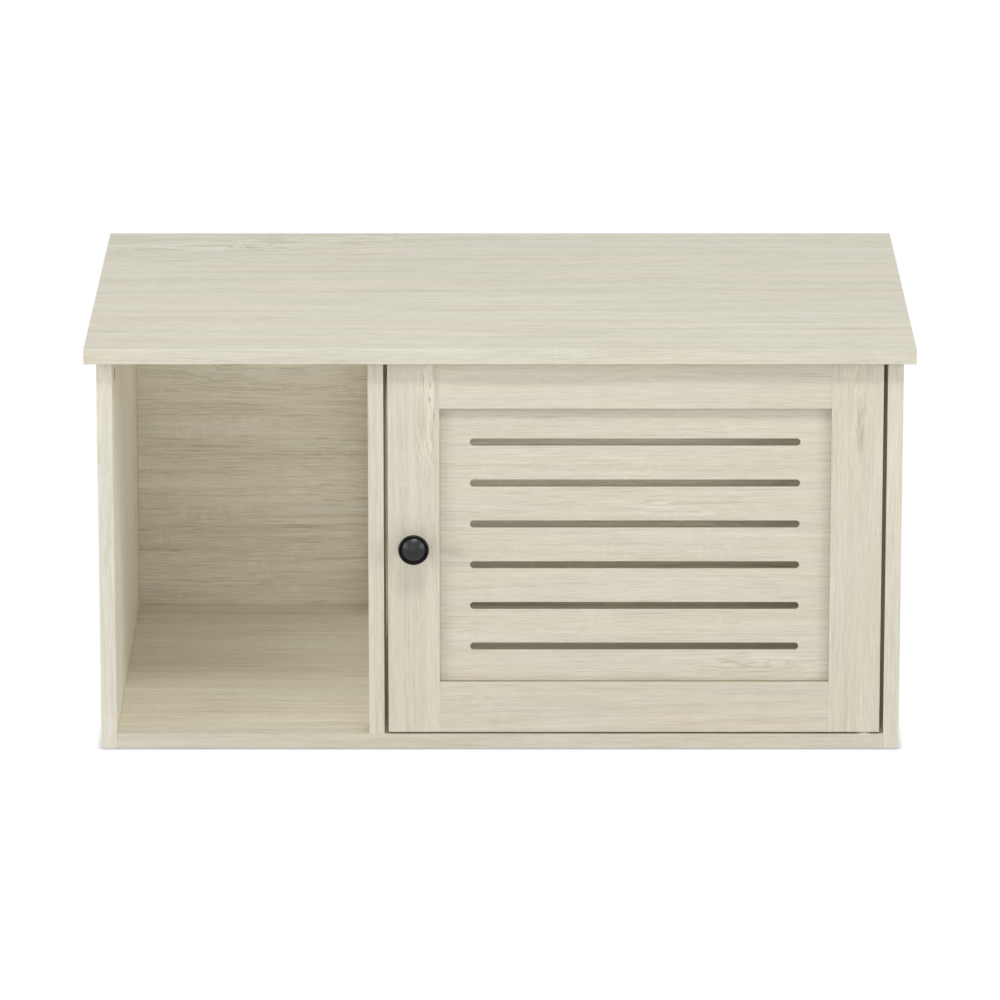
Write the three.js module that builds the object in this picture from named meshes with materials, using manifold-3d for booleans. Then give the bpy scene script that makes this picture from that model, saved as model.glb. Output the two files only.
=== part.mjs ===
// A low flat-pack cabinet that hides a cat litter box. The cat enters an open compartment on the left and
// goes through a doorway in the divider. The litter box stands on the right, behind a slotted door that turns
// on two pivot pins. Millimetres, +Z up, the front faces -Y. The origin is the middle of the carcass's
// footprint, on the floor.

import * as THREE from "three";
import { mergeVertices } from "three/addons/utils/BufferGeometryUtils.js";
import Module from "manifold-3d";

const wasm = await Module();
wasm.setup();

// ---- Driving dimensions ----

// Carcass
const TOP_WIDTH = 800;
const TOP_DEPTH = 500;
const CABINET_HEIGHT = 404;
const BOARD = 15;
const SIDE_OVERHANG = 11.5;
const FRONT_OVERHANG = 12;
const BACK_OVERHANG = 12;
const OPEN_COMPARTMENT_WIDTH = 246;

// Cat's doorway in the divider
const DOORWAY_WIDTH = 220;
const DOORWAY_HEIGHT = 250;
const DOORWAY_CORNER_RADIUS = 50;
const DOORWAY_SILL = 50;

// Door frame
const DOOR_THICKNESS = 15;
const DOOR_SIDE_GAP = 4;
const DOOR_END_GAP = 2;
const STILE_WIDTH = 50;
const TOP_RAIL_HEIGHT = 45;
const BOTTOM_RAIL_HEIGHT = 51;

// Slotted panel, in a groove round the frame
const PANEL_THICKNESS = 4;
const PANEL_RECESS = 6;
const GROOVE_DEPTH = 8;
const GROOVE_CLEARANCE = 0.3;
const PANEL_EDGE_PLAY = 1;
const SLOT_HEIGHT = 7;
const SLOT_PITCH = 41;
const SLOT_END_MARGIN = 29.5;
const SLOT_OUTER_MARGIN = 31;

// Knob
const KNOB_DIAMETER = 30;
const KNOB_PROJECTION = 22;
const KNOB_CAP_THICKNESS = 8;
const KNOB_BACK_TAPER = 1;
const KNOB_BACK_CHAMFER = 2;
const KNOB_RIM_WIDTH = 2.5;
const KNOB_RIM_CHAMFER = 1;
const KNOB_DOME_RISE = 4;
const KNOB_DOME_SINK = 1;
const KNOB_DOME_SHARES = [0.3, 0.6, 0.85];
const KNOB_NECK_DIAMETER = 12;
const KNOB_FOOT_DIAMETER = 17;
const KNOB_FOOT_THICKNESS = 3;
const KNOB_RISE = 3.5;
const KNOB_SCREW_REACH = 9;

// Pivot pins and bushes
const PIVOT_INSET = 15;
const PIN_DIAMETER = 6;
const PIN_IN_DOOR = 14;
const PIN_COLLAR_DIAMETER = 12;
const BUSH_DIAMETER = 10;
const BUSH_DEPTH = 9;
const BUSH_FLOOR = 1;
const BUSH_FLANGE_DIAMETER = 14;
const BUSH_FLANGE_THICKNESS = 0.8;
const PIVOT_CLEARANCE = 0.3;

// Magnetic catch under the top, and its strike plate on the door
const CATCH_BODY_WIDTH = 26;
const CATCH_EAR_WIDTH = 11;
const CATCH_EAR_THICKNESS = 4;
const CATCH_DEPTH = 15;
const CATCH_HEIGHT = 13;
const MAGNET_WIDTH = 18;
const MAGNET_HEIGHT = 9;
const MAGNET_DEPTH = 11;
const POLE_THICKNESS = 1.5;
const POLE_PROJECTION = 0.8;
const STRIKE_WIDTH = 38;
const STRIKE_HEIGHT = 12;
const STRIKE_THICKNESS = 1.2;
const STRIKE_DROP = 0.5;
const CATCH_CLEARANCE = 0.3;

// Cam joints
const CAM_BORE_DIAMETER = 15;
const CAM_DRILL_DISTANCE = 24;
const CAM_FLOOR = 0.8;
const CAM_FACE_RECESS = 0.5;
const CAM_EDGE_DISTANCE = 45;
const CAM_DRIVE_LENGTH = 8;
const CAM_DRIVE_WIDTH = 1.6;
const CAM_DRIVE_DEPTH = 2.5;
const CAM_CLAW_THICKNESS = 2;
const BOLT_BORE_DIAMETER = 8;
const BOLT_THREAD_DIAMETER = 5;
const BOLT_THREAD_LENGTH = 10.5;
const BOLT_COLLAR_DIAMETER = 7.2;
const BOLT_COLLAR_THICKNESS = 2;
const BOLT_SHANK_DIAMETER = 4.4;
const BOLT_HEAD_DIAMETER = 6.8;
const BOLT_HEAD_THICKNESS = 3.5;
const BACK_CAM_END_DISTANCE = 60;

// Dowels
const DOWEL_DIAMETER = 8;
const DOWEL_IN_FACE = 11;
const DOWEL_IN_EDGE = 19;
const DOWEL_CHAMFER = 1;
const DIVIDER_DOWEL_END_DISTANCE = 60;

// Screws: head and shank. A head's rim is chamfered by a share of its height.
const KNOB_SCREW = { head: 8, headHeight: 2.6, shank: 4 };
const CATCH_SCREW = { head: 6.5, headHeight: 2.2, shank: 3.5, reach: 11 };
const STRIKE_SCREW = { head: 6, headHeight: 0.9, shank: 3, reach: 10 };
const SCREW_CHAMFER_SHARE = 1 / 3;

// Clearance of each piece of hardware in its bore, and how far a cutting tool runs past the face it enters
const FIT = 0.3;
const RUN_OUT = 1;

// Points of one solid that are closer than this are one point
const MERGE_DISTANCE = 1e-4;

// Sides of a turned piece or a bore, and steps in a quarter of a round corner
const FINE_SIDES = 24;
const TURNED_SIDES = 12;
const SMALL_SIDES = 8;
const DOORWAY_CORNER_STEPS = 8;
const SLOT_CORNER_STEPS = 4;

// ---- Axes and places ----

const X = new THREE.Vector3(1, 0, 0);
const Y = new THREE.Vector3(0, 1, 0);
const Z = new THREE.Vector3(0, 0, 1);
const LEFT = X.clone().negate();
const RIGHT = X;
const FORWARDS = Y.clone().negate();
const BACKWARDS = Y;
const DOWN = Z.clone().negate();
const UP = Z;

// Faces that meet share one coordinate: a sixteenth of a millimetre is exact in 32 bits.
const GRID = 16;
const onGrid = (length) => Math.round(length * GRID) / GRID;

const carcass = {
  left: onGrid(-TOP_WIDTH / 2 + SIDE_OVERHANG),
  right: onGrid(TOP_WIDTH / 2 - SIDE_OVERHANG),
  front: onGrid(-TOP_DEPTH / 2 + FRONT_OVERHANG),
  back: onGrid(TOP_DEPTH / 2 - BACK_OVERHANG),
  top: onGrid(CABINET_HEIGHT - BOARD),
};

const inside = {
  left: onGrid(carcass.left + BOARD),
  right: onGrid(carcass.right - BOARD),
  floor: onGrid(BOARD),
  back: onGrid(carcass.back - BOARD),
};

const divider = {
  left: onGrid(inside.left + OPEN_COMPARTMENT_WIDTH),
  right: onGrid(inside.left + OPEN_COMPARTMENT_WIDTH + BOARD),
};

const door = {
  left: onGrid(divider.right + DOOR_SIDE_GAP),
  right: onGrid(inside.right - DOOR_SIDE_GAP),
  bottom: onGrid(inside.floor + DOOR_END_GAP),
  top: onGrid(carcass.top - DOOR_END_GAP),
  front: carcass.front,
  back: onGrid(carcass.front + DOOR_THICKNESS),
};

// The opening of the door frame, which the slotted panel fills
const light = {
  left: onGrid(door.left + STILE_WIDTH),
  right: onGrid(door.right - STILE_WIDTH),
  bottom: onGrid(door.bottom + BOTTOM_RAIL_HEIGHT),
  top: onGrid(door.top - TOP_RAIL_HEIGHT),
};

const panel = {
  front: onGrid(door.front + PANEL_RECESS),
  back: onGrid(door.front + PANEL_RECESS + PANEL_THICKNESS),
  tongue: GROOVE_DEPTH - PANEL_EDGE_PLAY,
};

const middle = (a, b) => (a + b) / 2;

const pivot = new THREE.Vector3(door.right - PIVOT_INSET, middle(door.front, door.back), 0);
const knobPlace = new THREE.Vector3(
  middle(door.left, light.left),
  door.front,
  middle(door.bottom, door.top) + KNOB_RISE,
);

// ---- Materials ----

const finish = (color, roughness, metalness = 0) =>
  new THREE.MeshStandardMaterial({ color, roughness, metalness });

const oakLaminate = finish(0xd9d4c2, 0.55);
const slottedLaminate = finish(0xdad5c3, 0.55);
const blackPaint = finish(0x2b2928, 0.4, 0.3);
const zincAlloy = finish(0xa9a8a4, 0.4, 1);
const zincPlatedSteel = finish(0xb9b8b2, 0.35, 1);
const beech = finish(0xd8b98a, 0.7);
const whiteNylon = finish(0xe6e4dc, 0.5);
const ivoryPlastic = finish(0xdcd8c8, 0.5);
const darkFerrite = finish(0x4a4a4c, 0.5, 0.6);

// ---- Solids ----

// A closed three.js geometry as a solid that can be cut and joined.
function solidOf(geometry) {
  const bare = geometry.index ? geometry.toNonIndexed() : geometry.clone();
  bare.deleteAttribute("normal");
  bare.deleteAttribute("uv");
  const merged = mergeVertices(bare, MERGE_DISTANCE);
  return new wasm.Manifold(
    new wasm.Mesh({
      numProp: 3,
      vertProperties: merged.attributes.position.array,
      triVerts: new Uint32Array(merged.index.array),
    }),
  );
}

function geometryOf(solid) {
  const mesh = solid.getMesh();
  const geometry = new THREE.BufferGeometry();
  geometry.setAttribute("position", new THREE.BufferAttribute(mesh.vertProperties, 3));
  geometry.setIndex(new THREE.BufferAttribute(mesh.triVerts, 1));
  return geometry;
}

const cut = (blank, tools) => tools.reduce((solid, tool) => solid.subtract(tool), blank);
const join = (...solids) => solids.reduce((whole, solid) => whole.add(solid));

// A box between two opposite corners, each [x, y, z].
function boxBetween(low, high) {
  const from = low.map(onGrid);
  const to = high.map(onGrid);
  const size = to.map((end, axis) => end - from[axis]);
  const centre = to.map((end, axis) => middle(end, from[axis]));
  return solidOf(new THREE.BoxGeometry(...size).translate(...centre));
}

// The frame of a piece that is drawn along its own +Z: zAxis is where its +Z goes, xAxis where its +X goes.
function placing(place, zAxis, xAxis) {
  const yAxis = new THREE.Vector3().crossVectors(zAxis, xAxis);
  return new THREE.Matrix4().makeBasis(xAxis, yAxis, zAxis).setPosition(place);
}

// Some direction square to an axis, for round pieces whose turn doesn't matter.
const squareTo = (axis) => (Math.abs(axis.z) > 0.5 ? X : Z);

const along = (place, direction, distance) => place.clone().addScaledVector(direction, distance);

// A piece turned on a lathe. profile holds [radius, height] points, up the outside from axis to axis.
function turned(profile, sides) {
  const points = profile.map(([radius, height]) => new THREE.Vector2(radius, height));
  return new THREE.LatheGeometry(points, sides).rotateX(Math.PI / 2);
}

// A round tool that enters a board at mouth and goes depth into it along inward.
function bore(mouth, inward, diameter, depth, sides = TURNED_SIDES) {
  const tool = turned([[0, -RUN_OUT], [diameter / 2, -RUN_OUT], [diameter / 2, depth], [0, depth]], sides);
  return solidOf(tool.applyMatrix4(placing(mouth, inward, squareTo(inward))));
}

// A rectangle with round corners, centred on a point.
function roundedRectangle(centreX, centreY, width, height, radius) {
  const [left, right] = [centreX - width / 2, centreX + width / 2];
  const [bottom, top] = [centreY - height / 2, centreY + height / 2];
  const shape = new THREE.Shape();
  shape.absarc(right - radius, bottom + radius, radius, -Math.PI / 2, 0);
  shape.absarc(right - radius, top - radius, radius, 0, Math.PI / 2);
  shape.absarc(left + radius, top - radius, radius, Math.PI / 2, Math.PI);
  shape.absarc(left + radius, bottom + radius, radius, Math.PI, 1.5 * Math.PI);
  shape.closePath();
  return shape;
}

// A prism whose section is drawn in X and Z and which runs from one Y to another.
function prismAlongY(shape, fromY, toY, curveSegments = SLOT_CORNER_STEPS) {
  const options = { depth: toY - fromY, bevelEnabled: false, curveSegments };
  return solidOf(new THREE.ExtrudeGeometry(shape, options).rotateX(Math.PI / 2).translate(0, toY, 0));
}

// A prism whose section is drawn in Y and Z and which runs from one X to another.
function prismAlongX(shape, fromX, toX, curveSegments) {
  const options = { depth: toX - fromX, bevelEnabled: false, curveSegments };
  const turn = placing(new THREE.Vector3(fromX, 0, 0), X, Y);
  return solidOf(new THREE.ExtrudeGeometry(shape, options).applyMatrix4(turn));
}

// ---- The scene graph ----

const cabinet = new THREE.Group();
const doorGroup = new THREE.Group();
doorGroup.position.copy(pivot);
cabinet.add(doorGroup);

// Adds a solid that was made in the cabinet's own coordinates, with the mesh's origin at the solid's middle.
function addSolid(group, name, solid, material) {
  const geometry = geometryOf(solid);
  geometry.computeBoundingBox();
  const centre = geometry.boundingBox.getCenter(new THREE.Vector3());
  const mesh = new THREE.Mesh(geometry.translate(...centre.clone().negate()), material);
  mesh.name = name;
  mesh.position.copy(centre).sub(group.position);
  group.add(mesh);
}

// Adds a piece that was drawn along its own +Z, at a place in the cabinet's coordinates.
function addTurned(group, name, geometry, material, place, zAxis, xAxis = squareTo(zAxis)) {
  const mesh = new THREE.Mesh(geometry, material);
  mesh.name = name;
  mesh.applyMatrix4(placing(place.clone().sub(group.position), zAxis, xAxis));
  group.add(mesh);
}

// ---- Cam joints: a bolt in one board's face, drawn tight by a cam in the end of the other ----

// Height of the bolt's axis over the face that the cam is let into, and how deep that bore is
const BOLT_AXIS_DEPTH = BOARD / 2;
const HEAD_CHAMBER_DIAMETER = BOLT_HEAD_DIAMETER + 2 * FIT;
const CAM_BORE_DEPTH = BOLT_AXIS_DEPTH + HEAD_CHAMBER_DIAMETER / 2 + CAM_FLOOR;

// mouth: where the bolt crosses from board to board. inward: from there into the board that holds the cam.
// camFace: out of the face that the cam is let into.
function camJoint(name, mouth, inward, camFace) {
  const camCentre = along(mouth, inward, CAM_DRILL_DISTANCE);
  const camMouth = along(camCentre, camFace, BOLT_AXIS_DEPTH);
  const intoFace = camFace.clone().negate();
  const intoBoltBoard = inward.clone().negate();
  return {
    name,
    mouth,
    inward,
    camFace,
    camMouth,
    camBoardCuts: [
      bore(camMouth, intoFace, CAM_BORE_DIAMETER, CAM_BORE_DEPTH, FINE_SIDES),
      bore(mouth, inward, BOLT_BORE_DIAMETER, CAM_DRILL_DISTANCE, SMALL_SIDES),
    ],
    boltBoardCuts: [
      bore(mouth, intoBoltBoard, BOLT_THREAD_DIAMETER + 2 * FIT, BOLT_THREAD_LENGTH + FIT, SMALL_SIDES),
    ],
  };
}

// The cam: +Z is out of the board's face and +X points at the bolt's board.
function camGeometry() {
  const radius = CAM_BORE_DIAMETER / 2 - FIT;
  const height = CAM_BORE_DEPTH - CAM_FACE_RECESS - FIT;
  const axisHeight = BOLT_AXIS_DEPTH - CAM_FACE_RECESS;
  const blank = turned([[0, -height], [radius, -height], [radius, 0], [0, 0]], FINE_SIDES);
  const boltAxis = new THREE.Vector3(0, 0, -axisHeight);
  const claws = along(boltAxis, X, CAM_CLAW_THICKNESS);
  const chamber = bore(claws, LEFT, HEAD_CHAMBER_DIAMETER, CAM_BORE_DIAMETER, SMALL_SIDES);
  const neckSlot = bore(boltAxis, RIGHT, BOLT_SHANK_DIAMETER + 2 * FIT, CAM_BORE_DIAMETER, SMALL_SIDES);
  const [long, wide] = [CAM_DRIVE_LENGTH / 2, CAM_DRIVE_WIDTH / 2];
  const drive = join(
    boxBetween([-long, -wide, -CAM_DRIVE_DEPTH], [long, wide, RUN_OUT]),
    boxBetween([-wide, -long, -CAM_DRIVE_DEPTH], [wide, long, RUN_OUT]),
  );
  return geometryOf(cut(solidOf(blank), [chamber, neckSlot, drive]));
}

// The bolt: +Z runs from its thread to its head, with its collar's seat at zero.
function boltGeometry() {
  const headStart = CAM_DRILL_DISTANCE - CAM_CLAW_THICKNESS + FIT;
  const headEnd = headStart + BOLT_HEAD_THICKNESS;
  const profile = [
    [0, -BOLT_THREAD_LENGTH],
    [BOLT_THREAD_DIAMETER / 2, -BOLT_THREAD_LENGTH],
    [BOLT_THREAD_DIAMETER / 2, 0],
    [BOLT_COLLAR_DIAMETER / 2, 0],
    [BOLT_COLLAR_DIAMETER / 2, BOLT_COLLAR_THICKNESS],
    [BOLT_SHANK_DIAMETER / 2, BOLT_COLLAR_THICKNESS],
    [BOLT_SHANK_DIAMETER / 2, headStart],
    [BOLT_HEAD_DIAMETER / 2, headStart],
    [BOLT_HEAD_DIAMETER / 2, headEnd],
    [0, headEnd],
  ];
  return turned(profile, SMALL_SIDES);
}

// The rows of cams along a board's depth, as names and distances from the front
const frontAndRear = (front, back) => [
  ["front", front + CAM_EDGE_DISTANCE],
  ["rear", back - CAM_EDGE_DISTANCE],
];

const boltX = {
  left: middle(carcass.left, inside.left),
  right: middle(carcass.right, inside.right),
  divider: middle(divider.left, divider.right),
};
const boltInBack = middle(inside.back, carcass.back);
const boltInBottom = inside.floor / 2;

const sideRows = frontAndRear(carcass.front, carcass.back);
const dividerRows = frontAndRear(carcass.front, inside.back);
const backRows = [
  ["lower", inside.floor + BACK_CAM_END_DISTANCE],
  ["upper", carcass.top - BACK_CAM_END_DISTANCE],
];

const at = (x, y, z) => new THREE.Vector3(x, y, z);

const leftTopCams = sideRows.map(([row, y]) =>
  camJoint(`left_top_${row}`, at(boltX.left, y, carcass.top), DOWN, RIGHT));
const rightTopCams = sideRows.map(([row, y]) =>
  camJoint(`right_top_${row}`, at(boltX.right, y, carcass.top), DOWN, LEFT));
const dividerTopCams = dividerRows.map(([row, y]) =>
  camJoint(`divider_top_${row}`, at(boltX.divider, y, carcass.top), DOWN, RIGHT));
const leftBottomCams = sideRows.map(([row, y]) =>
  camJoint(`left_bottom_${row}`, at(inside.left, y, boltInBottom), RIGHT, DOWN));
const rightBottomCams = sideRows.map(([row, y]) =>
  camJoint(`right_bottom_${row}`, at(inside.right, y, boltInBottom), LEFT, DOWN));
const leftBackCams = backRows.map(([row, z]) =>
  camJoint(`left_back_${row}`, at(inside.left, boltInBack, z), RIGHT, BACKWARDS));
const rightBackCams = backRows.map(([row, z]) =>
  camJoint(`right_back_${row}`, at(inside.right, boltInBack, z), LEFT, BACKWARDS));

function addCamJoints() {
  const joints = [
    leftTopCams, rightTopCams, dividerTopCams, leftBottomCams, rightBottomCams, leftBackCams, rightBackCams,
  ].flat();
  for (const joint of joints) {
    const boltWards = joint.inward.clone().negate();
    const camFace = along(joint.camMouth, joint.camFace, -CAM_FACE_RECESS);
    addTurned(cabinet, `${joint.name}_cam_lock`, camGeometry(), zincAlloy, camFace, joint.camFace, boltWards);
    addTurned(cabinet, `${joint.name}_cam_bolt`, boltGeometry(), zincPlatedSteel, joint.mouth, joint.inward);
  }
}

// ---- Dowels ----

// mouth: where the dowel crosses from board to board. inward: from there into the end of a board.
function dowelJoint(name, mouth, inward) {
  const intoFace = inward.clone().negate();
  const diameter = DOWEL_DIAMETER + 2 * FIT;
  return {
    name,
    mouth,
    inward,
    endCuts: [bore(mouth, inward, diameter, DOWEL_IN_EDGE + FIT)],
    faceCuts: [bore(mouth, intoFace, diameter, DOWEL_IN_FACE + FIT)],
  };
}

const leftTopDowel = dowelJoint("left_top", at(boltX.left, 0, carcass.top), DOWN);
const rightTopDowel = dowelJoint("right_top", at(boltX.right, 0, carcass.top), DOWN);
const leftBottomDowel = dowelJoint("left_bottom", at(inside.left, 0, boltInBottom), RIGHT);
const rightBottomDowel = dowelJoint("right_bottom", at(inside.right, 0, boltInBottom), LEFT);
const dividerDowels = [
  ["front", carcass.front + DIVIDER_DOWEL_END_DISTANCE],
  ["rear", inside.back - DIVIDER_DOWEL_END_DISTANCE],
].map(([row, y]) => dowelJoint(`divider_bottom_${row}`, at(boltX.divider, y, inside.floor), UP));

function addDowels() {
  const radius = DOWEL_DIAMETER / 2;
  const tip = radius - DOWEL_CHAMFER;
  const profile = [
    [0, -DOWEL_IN_FACE],
    [tip, -DOWEL_IN_FACE],
    [radius, -DOWEL_IN_FACE + DOWEL_CHAMFER],
    [radius, DOWEL_IN_EDGE - DOWEL_CHAMFER],
    [tip, DOWEL_IN_EDGE],
    [0, DOWEL_IN_EDGE],
  ];
  const joints = [leftTopDowel, rightTopDowel, leftBottomDowel, rightBottomDowel, ...dividerDowels];
  for (const { name, mouth, inward } of joints)
    addTurned(cabinet, `${name}_dowel`, turned(profile, TURNED_SIDES), beech, mouth, inward);
}

// ---- Pivots: each end of the door's hinge stile turns on a pin in a flanged bush ----

// seat: the board face that the bush sits in. doorEnd: the stile's end. outward: from the board to the door.
const pivots = [
  { name: "lower", seat: inside.floor, doorEnd: door.bottom, outward: UP },
  { name: "upper", seat: carcass.top, doorEnd: door.top, outward: DOWN },
];

const atPivot = (height) => new THREE.Vector3(pivot.x, pivot.y, height);

const bushCut = ({ seat, outward }) =>
  bore(atPivot(seat), outward.clone().negate(), BUSH_DIAMETER + 2 * FIT, BUSH_DEPTH + FIT);
const pinCut = ({ doorEnd, outward }) =>
  bore(atPivot(doorEnd), outward, PIN_DIAMETER + 2 * FIT, PIN_IN_DOOR + FIT);

function addPivots() {
  const pinRadius = PIN_DIAMETER / 2;
  const holeRadius = pinRadius + PIVOT_CLEARANCE;
  const holeFloor = BUSH_FLOOR - BUSH_DEPTH;
  const bushProfile = [
    [0, -BUSH_DEPTH],
    [BUSH_DIAMETER / 2, -BUSH_DEPTH],
    [BUSH_DIAMETER / 2, 0],
    [BUSH_FLANGE_DIAMETER / 2, 0],
    [BUSH_FLANGE_DIAMETER / 2, BUSH_FLANGE_THICKNESS],
    [holeRadius, BUSH_FLANGE_THICKNESS],
    [holeRadius, holeFloor],
    [0, holeFloor],
  ];
  const collarThickness = DOOR_END_GAP - BUSH_FLANGE_THICKNESS - PIVOT_CLEARANCE;
  const pinTip = -DOOR_END_GAP + holeFloor + PIVOT_CLEARANCE;
  const pinProfile = [
    [0, pinTip],
    [pinRadius, pinTip],
    [pinRadius, -collarThickness],
    [PIN_COLLAR_DIAMETER / 2, -collarThickness],
    [PIN_COLLAR_DIAMETER / 2, 0],
    [pinRadius, 0],
    [pinRadius, PIN_IN_DOOR],
    [0, PIN_IN_DOOR],
  ];
  for (const { name, seat, doorEnd, outward } of pivots) {
    const bush = turned(bushProfile, FINE_SIDES);
    const pin = turned(pinProfile, FINE_SIDES);
    addTurned(cabinet, `${name}_pivot_bush`, bush, whiteNylon, atPivot(seat), outward);
    addTurned(doorGroup, `${name}_pivot_pin`, pin, zincPlatedSteel, atPivot(doorEnd), outward);
  }
}

// ---- Magnetic catch ----

const strikeFace = door.back + STRIKE_THICKNESS;
const poleFace = strikeFace + CATCH_CLEARANCE;
const catchFront = poleFace + POLE_PROJECTION;
const catchCentreX = middle(door.left, light.left);
const catchEar = CATCH_BODY_WIDTH / 2 + CATCH_EAR_WIDTH / 2;
const catchScrewY = catchFront + CATCH_DEPTH / 2;
const catchScrews = [
  ["left", catchCentreX - catchEar],
  ["right", catchCentreX + catchEar],
].map(([side, x]) => ({ side, x }));

const earUnderside = carcass.top - CATCH_EAR_THICKNESS;
const catchScrewCuts = catchScrews.map(({ x }) =>
  bore(at(x, catchScrewY, earUnderside), UP, CATCH_SCREW.shank + 2 * FIT,
    CATCH_EAR_THICKNESS + CATCH_SCREW.reach + FIT, SMALL_SIDES));

// A pan-head screw: +Z runs from the head's seat to the tip.
function screwGeometry({ head, headHeight, shank }, length) {
  const chamfer = headHeight * SCREW_CHAMFER_SHARE;
  const profile = [
    [0, -headHeight],
    [head / 2 - chamfer, -headHeight],
    [head / 2, -chamfer],
    [head / 2, 0],
    [shank / 2, 0],
    [shank / 2, length],
    [0, length],
  ];
  return turned(profile, TURNED_SIDES);
}

function addCatch() {
  const halfBody = CATCH_BODY_WIDTH / 2;
  const halfWidth = halfBody + CATCH_EAR_WIDTH;
  const outline = new THREE.Shape([
    new THREE.Vector2(catchCentreX - halfBody, carcass.top - CATCH_HEIGHT),
    new THREE.Vector2(catchCentreX + halfBody, carcass.top - CATCH_HEIGHT),
    new THREE.Vector2(catchCentreX + halfBody, earUnderside),
    new THREE.Vector2(catchCentreX + halfWidth, earUnderside),
    new THREE.Vector2(catchCentreX + halfWidth, carcass.top),
    new THREE.Vector2(catchCentreX - halfWidth, carcass.top),
    new THREE.Vector2(catchCentreX - halfWidth, earUnderside),
    new THREE.Vector2(catchCentreX - halfBody, earUnderside),
  ]);
  const bottom = carcass.top - middle(CATCH_HEIGHT, MAGNET_HEIGHT);
  const halfMagnet = MAGNET_WIDTH / 2;
  const magnetBack = poleFace + MAGNET_DEPTH;
  const pocket = boxBetween(
    [catchCentreX - halfMagnet - FIT, catchFront - RUN_OUT, bottom - FIT],
    [catchCentreX + halfMagnet + FIT, magnetBack + FIT, bottom + MAGNET_HEIGHT + FIT],
  );
  const blank = prismAlongY(outline, catchFront, catchFront + CATCH_DEPTH);
  addSolid(cabinet, "catch_housing", cut(blank, [pocket, ...catchScrewCuts]), ivoryPlastic);

  const poleTop = bottom + MAGNET_HEIGHT - POLE_THICKNESS;
  const left = catchCentreX - halfMagnet;
  const right = catchCentreX + halfMagnet;
  const magnet = join(
    boxBetween([left, catchFront, bottom], [right, magnetBack, bottom + MAGNET_HEIGHT]),
    boxBetween([left, poleFace, bottom], [right, magnetBack, bottom + POLE_THICKNESS]),
    boxBetween([left, poleFace, poleTop], [right, magnetBack, bottom + MAGNET_HEIGHT]),
  );
  addSolid(cabinet, "catch_magnet", magnet, darkFerrite);

  const length = CATCH_EAR_THICKNESS + CATCH_SCREW.reach;
  for (const { side, x } of catchScrews) {
    const place = at(x, catchScrewY, earUnderside);
    addTurned(cabinet, `catch_screw_${side}`, screwGeometry(CATCH_SCREW, length), zincPlatedSteel, place, UP);
  }
}

// The strike plate on the back of the knob stile, with its screw's head sunk in it
const strikeCentre = at(catchCentreX, door.back, door.top - STRIKE_DROP - STRIKE_HEIGHT / 2);
const strikeScrewCut = bore(
  strikeCentre, FORWARDS, STRIKE_SCREW.shank + 2 * FIT, STRIKE_SCREW.reach + FIT, SMALL_SIDES,
);

function addStrike() {
  const blank = boxBetween(
    [strikeCentre.x - STRIKE_WIDTH / 2, door.back, strikeCentre.z - STRIKE_HEIGHT / 2],
    [strikeCentre.x + STRIKE_WIDTH / 2, strikeFace, strikeCentre.z + STRIKE_HEIGHT / 2],
  );
  const headMouth = along(strikeCentre, BACKWARDS, STRIKE_THICKNESS);
  const headBore = bore(headMouth, FORWARDS, STRIKE_SCREW.head + 2 * FIT, STRIKE_THICKNESS + RUN_OUT);
  addSolid(doorGroup, "strike_plate", cut(blank, [headBore]), zincPlatedSteel);
  addTurned(
    doorGroup, "strike_screw", screwGeometry(STRIKE_SCREW, STRIKE_SCREW.reach), zincPlatedSteel,
    strikeCentre, FORWARDS,
  );
}

// ---- Carcass boards ----

function addTopPanel() {
  const [halfWidth, halfDepth] = [TOP_WIDTH / 2, TOP_DEPTH / 2];
  const blank = boxBetween([-halfWidth, -halfDepth, carcass.top], [halfWidth, halfDepth, CABINET_HEIGHT]);
  const topCams = [...leftTopCams, ...rightTopCams, ...dividerTopCams];
  const boltHoles = topCams.flatMap((joint) => joint.boltBoardCuts);
  const dowelHoles = [...leftTopDowel.faceCuts, ...rightTopDowel.faceCuts];
  const tools = [...boltHoles, ...dowelHoles, ...catchScrewCuts, bushCut(pivots[1])];
  addSolid(cabinet, "top_panel", cut(blank, tools), oakLaminate);
}

function addSidePanels() {
  const sides = [
    {
      name: "left_side_panel", from: carcass.left, to: inside.left,
      topCams: leftTopCams, boltCams: [...leftBottomCams, ...leftBackCams],
      topDowel: leftTopDowel, bottomDowel: leftBottomDowel,
    },
    {
      name: "right_side_panel", from: inside.right, to: carcass.right,
      topCams: rightTopCams, boltCams: [...rightBottomCams, ...rightBackCams],
      topDowel: rightTopDowel, bottomDowel: rightBottomDowel,
    },
  ];
  for (const { name, from, to, topCams, boltCams, topDowel, bottomDowel } of sides) {
    const blank = boxBetween([from, carcass.front, 0], [to, carcass.back, carcass.top]);
    const tools = [
      ...topCams.flatMap((joint) => joint.camBoardCuts),
      ...boltCams.flatMap((joint) => joint.boltBoardCuts),
      ...topDowel.endCuts,
      ...bottomDowel.faceCuts,
    ];
    addSolid(cabinet, name, cut(blank, tools), oakLaminate);
  }
}

function addDividerPanel() {
  const blank = boxBetween(
    [divider.left, carcass.front, inside.floor],
    [divider.right, inside.back, carcass.top],
  );
  const outline = roundedRectangle(
    middle(carcass.front, inside.back),
    inside.floor + DOORWAY_SILL + DOORWAY_HEIGHT / 2,
    DOORWAY_WIDTH,
    DOORWAY_HEIGHT,
    DOORWAY_CORNER_RADIUS,
  );
  const [from, to] = [divider.left - RUN_OUT, divider.right + RUN_OUT];
  const doorway = prismAlongX(outline, from, to, DOORWAY_CORNER_STEPS);
  const camCuts = dividerTopCams.flatMap((joint) => joint.camBoardCuts);
  const dowelCuts = dividerDowels.flatMap((joint) => joint.endCuts);
  addSolid(cabinet, "divider_panel", cut(blank, [doorway, ...camCuts, ...dowelCuts]), oakLaminate);
}

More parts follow.
